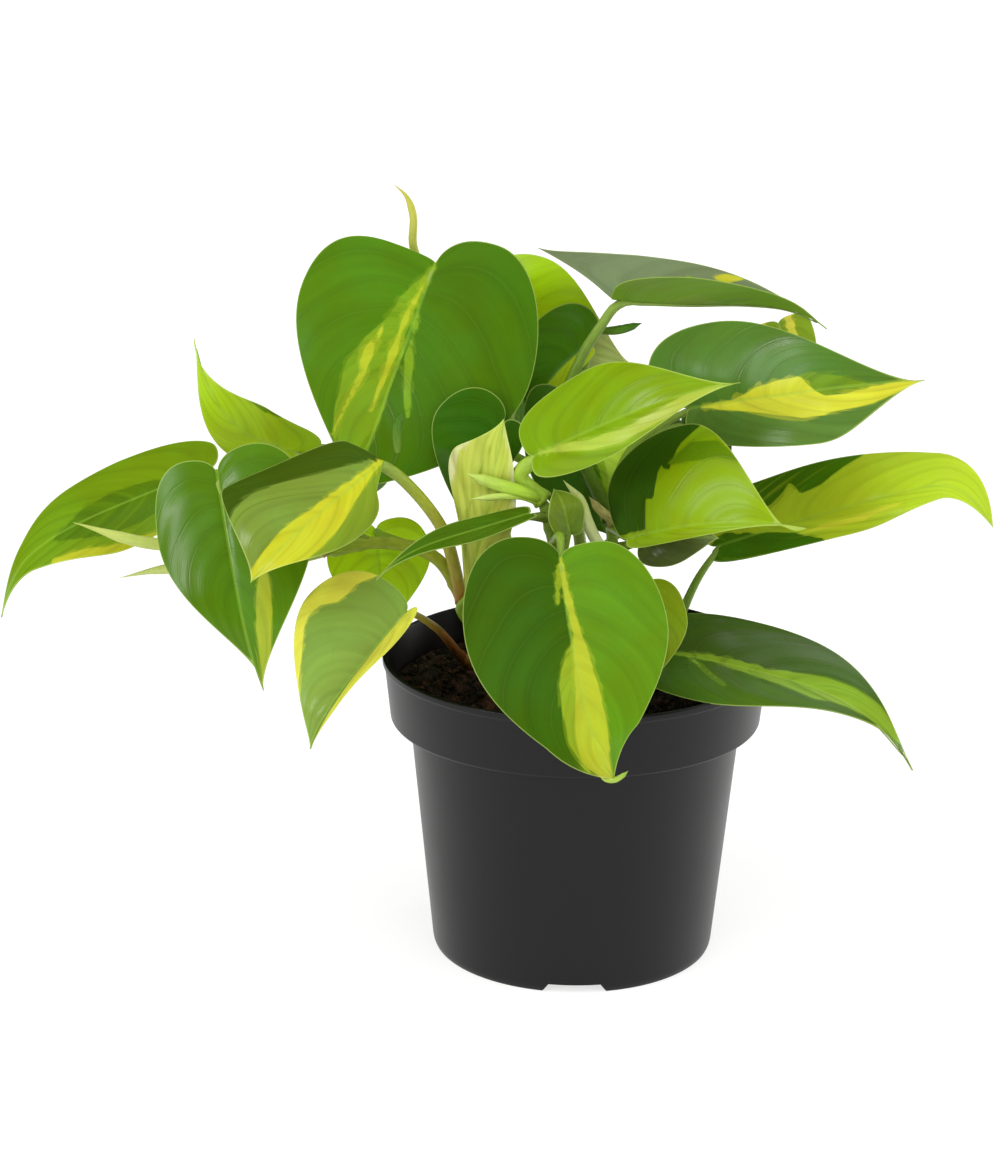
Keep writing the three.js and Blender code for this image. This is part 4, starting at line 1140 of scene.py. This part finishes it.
def add_tube(gatherer, centres, radii, sides, start_up, slot, stops, light, outline=plain_round):
    """Puts a tube that ends in points into a gatherer. stops are (distance along, colour) pairs."""
    turns = np.linspace(0, 2 * math.pi, sides, endpoint=False)
    across, upright = np.sin(turns)[:, None], np.cos(turns)[:, None]
    normal = np.array(start_up, float)
    rings = [np.broadcast_to(centres[0], (sides, 3))]
    for i, (centre, tangent) in enumerate(zip(centres, unit(np.gradient(centres, axis=0)))):
        normal = unit(normal - tangent * normal.dot(tangent))
        side = np.cross(tangent, normal)
        shape = radii[i] * outline(turns, i / (len(centres) - 1))
        rings.append(centre + shape[:, None] * (upright * normal + across * side))
    rings.append(np.broadcast_to(centres[-1], (sides, 3)))

    lengths = distance_along(centres)
    lengths = np.concatenate([[0], lengths, lengths[-1:]])
    at = [distance for distance, shade in stops]
    shades = np.array([skin_colour(shade, light) for distance, shade in stops])
    ground = np.stack([np.interp(lengths, at, channel) for channel in shades.T], axis=1)
    around = np.abs(np.linspace(-1, 1, sides, endpoint=False))
    uv = np.stack(np.broadcast_arrays(around[None, :], lengths[:, None]), axis=-1)
    first = gatherer.add_points(np.array(rings), dict(ground=ground[:, None]), uv)
    gatherer.add_grid(first, len(rings), sides, slot, closed=True)


def root_on(piece):
    """The point of its stem that a leaf or a rolled leaf grows from."""
    curve = STEM_CURVES[piece["stem"]]
    return curve[round(piece["at"] * (len(curve) - 1))]


print("the top leaf grows %.0f mm above the floor" % root_on(LEAVES["leaf_top_heart"])[2])

# %% [markdown]
# ## Rolled leaves and bracts
#
# A new leaf comes rolled up like paper, and ends in a point. A bract is the small green scale that
# stays where a leaf came out. Both are a spindle. Its outline is a spiral, so that the free edge of the
# roll shows as a seam that winds a little.

# %% the spindle
SPINDLE_SIDES = 20
SPINDLE_UP = (0.3, -0.8, 0.5)
ROLLED_LIGHT = 0.66


def rolled(turns, u):
    """The outline of a rolled leaf: one edge laps over the rest, and the seam winds a little."""
    return 0.9 + 0.2 * (((turns / (2 * math.pi)) + 0.35 * u) % 1)


def add_spindle(gatherer, path, radius, slot, stops, steps):
    """A rolled leaf or bract, which swells in the middle and ends in a point."""
    u = np.linspace(0, 1, steps)
    radii = radius * (0.55 + 1.6 * u * (1 - u)) * np.minimum(1, 0.06 + 5 * (1 - u))
    centres = curve_through(path, steps)
    add_tube(gatherer, centres, radii, SPINDLE_SIDES, SPINDLE_UP, slot, stops, ROLLED_LIGHT, rolled)


print("height of the roll's seam: %.1f of its radius" % np.ptp(rolled(np.linspace(0, 6.28, 99), 0)))

# %% [markdown]
# ## Leaves on their stalks
#
# The stalk of a leaf, its petiole, is a firm round stalk with a shallow channel on its upper side. It
# runs on under the blade as the raised midrib and thins out towards the tip, so the whole of it is one
# tube. It is rusty where it leaves the soil and green further up. Blade, stalk and bract are one piece,
# which stands for the leaf's solid in the frame.

# %% sizes and colours of the stalks
STALK_SIDES, STALK_STEPS = 14, 64
STALK_LIGHT = 0.8
DEFAULT_STALK = (1.6, 1.1)  # radius at the stem and at the blade
UNDER_RIB = ((0.14, 0.8), (0.35, 0.65), (0.6, 0.55), (0.8, 0.45), (0.95, 0.3))  # share, depth below it
RIB_RADIUS, RIB_END_RADIUS = 0.62, 0.2
RIB_COLOURS = [(2, "#9dbb52"), (30, "#98b45a")]
STALK_COLOURS = {
    "leaf_left_streaked": [(0, "#b0702c"), (10, "#bdb040"), (40, "#b5c23a")],
    "leaf_low_left": [(0, "#8a5222"), (24, "#a86c2c"), (55, "#a8a03c")],
    "leaf_left_heart": [(0, "#b09a3c"), (30, "#8fae36")],
    "leaf_top_heart": [(0, "#8f9a3c"), (20, "#a9bf48")],
    "leaf_top_right": [(0, "#4e6c14"), (25, "#5c7c18"), (50, "#6c8e24")],
    "leaf_centre_lime": [(0, "#a4c83a"), (12, "#b8dc48")],
    "leaf_right_long": [(0, "#6f8c30"), (20, "#7fa436")],
}
DEFAULT_STALK_COLOURS = [(0, "#86a02c"), (12, "#93b832"), (60, "#98bf38")]
BRACT_COLOURS = {"leaf_front_heart": [(0, "#b4c852"), (8, "#9cba46"), (14, "#6c962c")]}
DEFAULT_BRACT_COLOURS = [(0, "#6c8c28"), (8, "#4c7818"), (14, "#3f6c14")]
BRACT_RADIUS, BRACT_STEPS = 1.4, 48
print("stalks with colours of their own:", len(STALK_COLOURS))

# %% blade and stalk


def channelled(turns, u):
    """The outline of a stalk: a round with a shallow channel on top."""
    return 1 - 0.16 * np.exp(-((np.minimum(turns, 2 * math.pi - turns) / 0.5) ** 2))


def add_blade(gatherer, leaf, rib, number):
    rows, columns = BLADE_ROWS + 1, BLADE_COLUMNS + 1
    rim = np.arange(rows) * columns + columns - 1
    for hand in (1, -1):
        firsts = []
        for slot, face in enumerate((1, -1)):
            firsts.append(gatherer.add_points(*blade_face(leaf, rib, hand, face, number)))
            gatherer.add_grid(firsts[-1], rows, columns, slot, flip=hand * face < 0)
        top, under = firsts[0] + rim, firsts[1] + rim
        quads = np.stack([top[:-1], top[1:], under[1:], under[:-1]], axis=-1)
        gatherer.add_faces(quads if hand < 0 else quads[:, ::-1], 0)


def add_stalk(gatherer, leaf, rib, stops):
    thick, thin = leaf.get("stalk", DEFAULT_STALK)
    route = [root_on(leaf)] + leaf["via"] + [rib.on(0.03) - rib.up * thin]
    free = distance_along(curve_through(route, 200))[-1]
    centres = curve_through(route + [rib.on(s) - rib.up * drop for s, drop in UNDER_RIB], STALK_STEPS)
    lengths = distance_along(centres)
    places = [0, 3, free * 0.8, free, free + 4, lengths[-1]]
    radii = np.interp(lengths, places, [thick * 1.25, thick, thin, thin * 0.95, RIB_RADIUS, RIB_END_RADIUS])
    stops = [stop for stop in stops if stop[0] < free] + [(free + at, shade) for at, shade in RIB_COLOURS]
    add_tube(gatherer, centres, radii, STALK_SIDES, rib.up, 2, stops, STALK_LIGHT, channelled)


print("blade points for each leaf:", 4 * (BLADE_ROWS + 1) * (BLADE_COLUMNS + 1))


def settle_piece(piece, node):
    """Hands a finished piece over: it hangs from the root and stands for its node, whose solid is hidden.
    """
    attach(piece, "root")
    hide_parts(node)


leaf_triangles = 0
for number, name in enumerate(LEAVES):
    leaf = {**DEFAULT_PAINT, **PAINT[name], **LEAVES[name]}
    rib = Midrib(leaf)
    gatherer = Gatherer()
    add_blade(gatherer, leaf, rib, number)
    add_stalk(gatherer, leaf, rib, STALK_COLOURS.get(name, DEFAULT_STALK_COLOURS))
    if "bract" in leaf:
        shades = BRACT_COLOURS.get(name, DEFAULT_BRACT_COLOURS)
        add_spindle(gatherer, leaf["bract"], leaf.get("bract_radius", BRACT_RADIUS), 2, shades, BRACT_STEPS)
    piece = gatherer.make(name + "_detail", (LEAF_TOP, LEAF_UNDER, PETIOLE))
    settle_piece(piece, name)
    leaf_triangles += sum(len(face.vertices) - 2 for face in piece.data.polygons)
print("leaves:", len(LEAVES), "with", leaf_triangles, "triangles")

# %% [markdown]
# ## Stems
#
# The vine stems are jointed: every two or three centimetres a node stands out as a ring, where a leaf
# grew or will grow. Low down they are browner. A ring carried along a curve makes them, and the radius
# swells a little at each node.

# %% build the stems
STEM_SIDES, STEM_STEPS = 24, 150
STEM_UP = (0, -1, 0.1)
STEM_TAPER = 0.25
NODE_SPACING, NODE_START = 17, 4
NODE_SWELL, NODE_WIDTH = 0.3, 1.1
STEM_LIGHT = 0.8
STEM_COLOURS = {
    "stem_left": [
        (0, "#6b4a24"), (42, "#8c742a"), (60, "#a09a2c"), (80, "#a8ac2a"), (100, "#a4b42c"),
        (140, "#96b434"),
    ],
    "stem_low": [(0, "#6b4a24"), (42, "#9a6a2c"), (60, "#a87a34")],
}
DEFAULT_STEM_COLOURS = [(0, "#5f4322"), (40, "#7d6a2c"), (58, "#87973a"), (90, "#8fb03c"), (150, "#93b640")]

for name, stem in STEMS.items():
    gatherer = Gatherer()
    centres = curve_through(stem["path"], STEM_STEPS)
    lengths = distance_along(centres)
    to_node = (lengths + NODE_START) % NODE_SPACING
    to_node = np.minimum(to_node, NODE_SPACING - to_node)
    radii = stem["radius"] * (1 - STEM_TAPER * lengths / lengths[-1])
    radii = radii * 0.96 + NODE_SWELL * np.exp(-((to_node / NODE_WIDTH) ** 2))
    radii[-3:] *= (0.95, 0.8, 0.5)
    shades = STEM_COLOURS.get(name, DEFAULT_STEM_COLOURS)
    add_tube(gatherer, centres, radii, STEM_SIDES, STEM_UP, 0, shades, STEM_LIGHT)
    settle_piece(gatherer.make(name + "_detail", (STEM,)), name)
print("stems:", len(STEMS))

# %% [markdown]
# The rolled leaves at the stem tips are the palest parts of the plant: green where they leave the stem,
# and almost cream at the tip. One of them is only the dry sheath that such a leaf left behind.

# %% build the rolled leaves
SPEAR_STEPS = 70
SPEAR_COLOURS = {
    "spear_top": [(0, "#a4ae48"), (30, "#bcc050"), (45, "#c4c04c")],
    "spear_crown_upper": [(0, "#9cc030"), (12, "#a8cc3c"), (30, "#c4d870")],
    "spear_crown_lower": [(0, "#9cc034"), (12, "#b4d050"), (30, "#cbdc80")],
    "spear_pale": [(0, "#a8c844"), (10, "#c8de74"), (18, "#e2eca8"), (30, "#d4e088")],
    "spear_sheath": [(0, "#8f9440"), (8, "#b0a860"), (20, "#a09a58")],
    "spear_left_upper": [(0, "#9ab440"), (30, "#b7ca5e"), (70, "#c6d46c"), (90, "#a8b850")],
    "spear_left_lower": [(0, "#9ab440"), (30, "#bccc66"), (70, "#ccd880")],
}

for name, spear in SPEARS.items():
    gatherer = Gatherer()
    path = [root_on(spear)] + spear["path"]
    add_spindle(gatherer, path, spear["radius"], 0, SPEAR_COLOURS[name], SPEAR_STEPS)
    skin = SHEATH if name == "spear_sheath" else ROLLED
    settle_piece(gatherer.make(name + "_detail", (skin,)), name)
print("rolled leaves:", len(SPEARS))

# %% [markdown]
# ## The nursery pot
#
# Such a pot is pressed from a thin sheet of dark grey polypropylene. It has small rounds at the rim and
# the collar, and its foot stands on a ring with three gaps for water to run out. A lathe makes such a
# form, and so does this code: the outline of the wall, outside and inside, is turned round the axis.

# %% the pot's outline
ROUND_STEPS = 5
POT_OUTLINE = [  # radius, height, size of the round
    (0, 0, 0), (8, 0, 0.4), (9, 3, 0.6), (40, 3, 0.8), (41, 0, 0.3), (43.4, 0.0, 0.5),
    (44.1, 1.6, 1.6), (51.5, 74.7, 0.5), (56.9, 75, 0.45), (57.5, 75.6, 0.4), (59.35, 92.6, 0.4),
    (60, 93, 0.35), (60, 95, 0.5), (58.6, 95, 0.5), (56.1, 76.4, 1.0), (50.1, 76, 1.2),
    (42.6, 4.4, 1.6), (0, 4.4, 0),
]


def rounded_outline(corners):
    """The outline with each corner replaced by a short curve of its own size."""
    points = []
    for i, (radius, height, size) in enumerate(corners):
        here = np.array([radius, height], float)
        if size == 0:
            points.append(here)
            continue
        before = np.array(corners[i - 1][:2], float) - here
        after = np.array(corners[i + 1][:2], float) - here
        start = here + before * min(size / np.linalg.norm(before), 0.45)
        end = here + after * min(size / np.linalg.norm(after), 0.45)
        for u in np.linspace(0, 1, ROUND_STEPS):
            points.append((1 - u) ** 2 * start + 2 * u * (1 - u) * here + u * u * end)
    return np.array(points)


pot_outline = rounded_outline(POT_OUTLINE)
print("points on the pot's outline:", len(pot_outline))

# %% turn it round the axis
POT_SIDES = 192


def turned(outline, sides):
    """Rings of points from an outline of [radius, height], and the quads between them."""
    outline = np.array(outline, float)
    angles = np.linspace(0, 2 * math.pi, sides, endpoint=False)
    spokes = np.stack([np.cos(angles), np.sin(angles)], axis=1)
    heights = np.repeat(outline[:, None, 1:], sides, axis=1)
    rings = np.concatenate([outline[:, None, :1] * spokes[None], heights], axis=2)
    i, j = np.meshgrid(np.arange(len(outline) - 1), np.arange(sides), indexing="ij")
    a, b = i * sides + j, i * sides + (j + 1) % sides
    return rings.reshape(-1, 3), np.stack([a, b, b + sides, a + sides], axis=-1).reshape(-1, 4)


def make_turned(name, points, quads, materials=()):
    kept, faces, _ = sewn(points, quads)
    return make_object(name, points[kept], faces, materials=materials)


pot_points, pot_quads = turned(pot_outline, POT_SIDES)
print("pot: %.0f mm high and %.0f mm across" % (np.ptp(pot_points[:, 2]), np.ptp(pot_points[:, 0])))

# %% [markdown]
# Pressed polypropylene has the satin skin of its mould, so the eye sees soft upright reflections on a
# nearly black ground, a little cloudy. The mould's grain is finer than a picture shows, so it is drawn
# at two thirds of a millimetre, very low. Inside, the plastic is painted a dark dull brown as painted
# shade, for the shade inside the pot. A wall looks inwards where its normal points towards the axis,
# and that is how the material finds the inside.

# %% the pot's plastic
POT_GREY = "#0b0b0c"
INSIDE_PAINTED_SHADE = "#120e0b"
CLOUDS_PER_METRE = 28
GRAINS_PER_METRE = 1500

plastic, node, shader = new_material("pressed polypropylene")
body = node("ShaderNodeTexCoord", output="Object")
cloud = node(NOISE, {"Vector": body, "Scale": CLOUDS_PER_METRE, "Detail": 4.0})
grain = node(NOISE, {"Vector": body, "Scale": GRAINS_PER_METRE, "Detail": 2.0})
shade = node(MAP_RANGE, [cloud, *NOISE_SPAN, 0.94, 1.06])
colour = node(HUE_SATURATION, {"Color": linear(POT_GREY), "Value": shade})
normal = node("ShaderNodeNewGeometry", output="Normal")
outwards = node(VECTOR_MATH, [normal, body], output="Value", operation="DOT_PRODUCT")
inside = node(MAP_RANGE, [outwards, -0.01, -0.03])
# the inward-facing wall is painted dark brown: painted shade inside the pot
shaded_inside = node(inputs={0: inside, 6: colour, 7: linear(INSIDE_PAINTED_SHADE)}, **COLOUR_MIX)
rough = node(MAP_RANGE, [cloud, *NOISE_SPAN, 0.34, 0.4])
bump = node(BUMP, {"Strength": 0.12, "Distance": 0.1 * MM, "Height": grain})
feed(shader, {"Base Color": shaded_inside, "Roughness": rough, "Specular IOR Level": 0.27, "Normal": bump})
print("pot material:", plastic.name)

# %% [markdown]
# The gaps in the foot and the drain holes go through the wall at an angle, so setting their points by
# hand would be hard. A Boolean modifier cuts them out instead, all with one cutter object: a wedge for
# each gap, wider at the bottom, and a round plug for each hole.

# %% helpers for cutting


def evaluated_mesh(piece):
    """Applies the modifiers of a piece and leaves it with a plain mesh."""
    graph = bpy.context.evaluated_depsgraph_get()
    mesh = bpy.data.meshes.new_from_object(piece.evaluated_get(graph))
    piece.modifiers.clear()
    piece.data = mesh


def cutter_from(shapes):
    """One object that holds all the shapes to be cut away, given as points and faces."""
    points, faces = [], []
    for shape_points, shape_faces in shapes:
        faces += [[len(points) + k for k in face] for face in shape_faces]
        points += shape_points
    cutter = make_object("pot_cutter", points, faces)
    form = bmesh.new()
    form.from_mesh(cutter.data)
    bmesh.ops.recalc_face_normals(form, faces=form.faces)
    form.to_mesh(cutter.data)
    form.free()
    return cutter


print("fine meshes made so far:", sum(mesh.name.endswith("_detail") for mesh in bpy.data.meshes))

# %% the shapes to cut away
FOOT_RADIUS = 44
GAP_COUNT, GAP_WIDTH, GAP_SPREAD, GAP_HEIGHT = 3, 16, 2.6, 2.8
GAP_REACH = (8, -6)  # from inside the foot ring to outside it
HOLE_COUNT, HOLE_RADIUS, HOLE_CIRCLE, HOLE_SIDES = 8, 4, 31, 32


def gap_wedge(angle):
    """A wedge through the foot ring that is wider at the bottom."""
    half, wide = GAP_WIDTH / 2, GAP_WIDTH / 2 + GAP_SPREAD
    section = [(-wide, -1), (wide, -1), (half, GAP_HEIGHT), (-half, GAP_HEIGHT)]
    cos, sin = math.cos(angle), math.sin(angle)
    places = [(x, reach - FOOT_RADIUS, z) for reach in GAP_REACH for x, z in section]
    points = [(x * cos - y * sin, x * sin + y * cos, z) for x, y, z in places]
    return points, [(0, 1, 2, 3), (7, 6, 5, 4), (0, 4, 5, 1), (1, 5, 6, 2), (2, 6, 7, 3), (3, 7, 4, 0)]


def hole_plug(angle):
    """A round plug for one drain hole."""
    centre = np.array([HOLE_CIRCLE * math.cos(angle), HOLE_CIRCLE * math.sin(angle)])
    turns = np.linspace(0, 2 * math.pi, HOLE_SIDES, endpoint=False)
    circle = centre + HOLE_RADIUS * np.stack([np.cos(turns), np.sin(turns)], axis=1)
    points = [(x, y, z) for z in (1, 7) for x, y in circle]
    ring = list(range(HOLE_SIDES))
    sides = [[k, n, HOLE_SIDES + n, HOLE_SIDES + k] for k, n in zip(ring, ring[1:] + ring[:1])]
    return points, sides + [ring[::-1], [HOLE_SIDES + k for k in ring]]


gaps = [gap_wedge(2 * math.pi * i / GAP_COUNT) for i in range(GAP_COUNT)]
holes = [hole_plug(2 * math.pi * (i + 0.5) / HOLE_COUNT) for i in range(HOLE_COUNT)]
print("gaps:", len(gaps), "holes:", len(holes))

# %% cut them out of the pot
SHARP_EDGE = math.radians(38)

pot = make_turned("pot_detail", pot_points, pot_quads, [plastic])
cutter = cutter_from(gaps + holes)
cut = pot.modifiers.new("gaps and holes", "BOOLEAN")
cut.operation = "DIFFERENCE"
cut.object = cutter
cut.solver = "EXACT"
evaluated_mesh(pot)
bpy.data.objects.remove(cutter)
pot.data.set_sharp_from_angle(angle=SHARP_EDGE)
settle_piece(pot, "pot")
print("pot faces:", len(pot.data.polygons))

# %% [markdown]
# ## The potting soil
#
# The soil is dark damp peat with bark crumbs on it. Peat is matt, and its crumbs differ in tone from
# nearly black to rusty brown, each about two millimetres across. So the tone comes from the cells of a
# Voronoi texture, and a fine noise breaks it up.

# %% the peat
CRUMBS_PER_METRE = 420
FIBRES_PER_METRE = 1100
PEAT_TONES = ((0.0, "#0d0704"), (0.45, "#1c100a"), (0.8, "#2f1a0e"), (1.0, "#4a2b17"))

peat, node, shader = new_material("damp peat with bark crumbs")
body = node("ShaderNodeTexCoord", output="Object")
cells = node("ShaderNodeTexVoronoi", {"Vector": body, "Scale": CRUMBS_PER_METRE}, output="Color")
patch = node("ShaderNodeSeparateColor", [cells])
fibres = node(NOISE, {"Vector": body, "Scale": FIBRES_PER_METRE, "Detail": 4.0})
tones = node("ShaderNodeValToRGB", {"Fac": patch})
elements = tones.node.color_ramp.elements
for stop, (place, shade) in enumerate(PEAT_TONES):
    element = elements[stop] if stop < 2 else elements.new(place)
    element.position = place
    element.color = linear(shade)
contrast = node(MAP_RANGE, [fibres, 0.25, 0.75, 0.6, 1.4])
colour = node(HUE_SATURATION, {"Color": tones, "Value": contrast})
bump = node(BUMP, {"Strength": 0.9, "Distance": 0.5 * MM, "Height": fibres})
feed(shader, {"Base Color": colour, "Roughness": 0.85, "Normal": bump})
print("peat tones:", len(elements))

# %% [markdown]
# The plug of soil is turned like the pot. Its top gets the low lumps that the frame's soil has, finer
# ones on them, and a little chance at each point. Towards the wall of the pot it settles level.

# %% the plug of soil
SOIL_TOP, SOIL_EDGE = 84, 56.6
SOIL_RELIEF, SOIL_GRIT = 1.4, 0.22
SOIL_SETTLES = 5
SOIL_SIDES, SOIL_RINGS = 180, 72
SOIL_WALL = [(0, 4.8), (42, 4.8), (49.8, 76.3), (55.7, 76.8)]
chance = np.random.default_rng(7)


def soil_height(x, y):
    """The lumps that the frame's soil has, and finer ones on them."""
    lumps = SOIL_RELIEF * (np.sin(0.31 * x + 0.8) * np.cos(0.27 * y - 0.4) + 0.5 * np.sin(0.52 * (x - y)))
    fine = 0.5 * np.sin(1.1 * x + 0.6 * np.sin(0.7 * y)) * np.sin(1.3 * y + 0.9)
    return lumps + (fine + 0.3 * np.sin(2.3 * x - 1.9 * y))


def soil_disc(edge, rings):
    """The outline of the soil's flat top, from its edge to the axis."""
    return [(edge * (1 - k / rings), SOIL_TOP) for k in range(rings + 1)]


def settling(points):
    """1 on the open soil, and 0 at the pot's wall."""
    return smooth_step((SOIL_EDGE - np.hypot(points[:, 0], points[:, 1])) / SOIL_SETTLES)


points, quads = turned(SOIL_WALL + soil_disc(SOIL_EDGE, SOIL_RINGS), SOIL_SIDES)
x, y, z = points.T
grit = chance.normal(0, SOIL_GRIT, len(z)) * (np.hypot(x, y) > 1)
z += (soil_height(x, y) + grit) * settling(points) * (z > SOIL_TOP - 0.01)
soil = make_turned("soil_detail", points, quads, [peat])
settle_piece(soil, "soil")
print("soil: %.1f mm at its highest" % z.max())

# %% [markdown]
# The crumbs are what makes it read as soil: there are thousands, of all sizes, each at its own turn.
# Placing them by hand is out of the question, and a bump alone would leave the top smooth against the
# wall. Geometry Nodes scatter them over a disc with the same lumps, from one irregular crumb of a few
# faces. Small crumbs are common and large ones rare, so chance is cubed before it sets the size.

# %% one crumb
form = bmesh.new()
bmesh.ops.create_icosphere(form, subdivisions=1, radius=0.5 * MM)
for vertex in form.verts:
    vertex.co *= float(chance.uniform(0.7, 1.3))
crumb_mesh = bpy.data.meshes.new("crumb")
form.to_mesh(crumb_mesh)
form.free()
crumb = in_scene("crumb", crumb_mesh)
print("faces of a crumb:", len(crumb_mesh.polygons))

# %% the tree that scatters it
scatter = bpy.data.node_groups.new("scatter crumbs", "GeometryNodeTree")
scatter.is_modifier = True
for title, kind in (
    ("Surface", "Geometry"), ("Crumb", "Object"), ("Crumbs per square metre", "Float"),
    ("Smallest", "Float"), ("Largest", "Float"), ("Finish", "Material"),
):
    scatter.interface.new_socket(title, in_out="INPUT", socket_type="NodeSocket" + kind)
scatter.interface.new_socket("Crumbs", in_out="OUTPUT", socket_type="NodeSocketGeometry")
node = partial(add_node, scatter)
given = node("NodeGroupInput").node.outputs
density = given["Crumbs per square metre"]
spots = node("GeometryNodeDistributePointsOnFaces",
             {"Mesh": given["Surface"], "Density": density, "Seed": 11}, distribute_method="RANDOM")
spin = node("FunctionNodeRandomValue", {0: (0, 0, 0), 1: (6.28, 6.28, 6.28), "Seed": 12},
            data_type="FLOAT_VECTOR")
luck = node("FunctionNodeRandomValue", {2: 0.0, 3: 1.0, "Seed": 13}, output=1, data_type="FLOAT")
rarity = node(MATH, [luck, 3.0], operation="POWER")
size = node(MAP_RANGE, {"Value": rarity, "To Min": given["Smallest"], "To Max": given["Largest"]})
stretch = node("FunctionNodeRandomValue", {0: (0.6, 0.5, 0.4), 1: (1.5, 1.1, 0.9), "Seed": 14},
               data_type="FLOAT_VECTOR")
scaled = node(VECTOR_MATH, {0: stretch, "Scale": size}, operation="SCALE")
shape = node("GeometryNodeObjectInfo", {"Object": given["Crumb"]}, output="Geometry")
placed = node("GeometryNodeInstanceOnPoints",
              {"Points": spots, "Instance": shape, "Rotation": spin, "Scale": scaled})
real = node("GeometryNodeRealizeInstances", {"Geometry": placed})
dressed = node("GeometryNodeSetMaterial", {"Geometry": real, "Material": given["Finish"]})
feed(scatter.nodes.new("NodeGroupOutput"), {"Crumbs": dressed})
print("nodes in the scatter tree:", len(scatter.nodes))

# %% scatter the crumbs
DISC_EDGE, DISC_RINGS, DISC_SIDES = SOIL_EDGE * 0.985, 40, 96
CRUMB_SETTINGS = {
    "Crumb": crumb, "Crumbs per square metre": 420000.0, "Smallest": 0.9, "Largest": 3.6, "Finish": peat,
}

points, quads = turned(soil_disc(DISC_EDGE, DISC_RINGS), DISC_SIDES)
points[:, 2] += soil_height(points[:, 0], points[:, 1]) * settling(points)
crumbs = make_turned("soil_crumbs", points, quads)
modifier = crumbs.modifiers.new("crumbs", "NODES")
modifier.node_group = scatter
for socket in scatter.interface.items_tree:
    if socket.name in CRUMB_SETTINGS:
        modifier[socket.identifier] = CRUMB_SETTINGS[socket.name]
evaluated_mesh(crumbs)
bpy.data.objects.remove(crumb)
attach(crumbs, "root")
print("crumb faces:", len(crumbs.data.polygons))
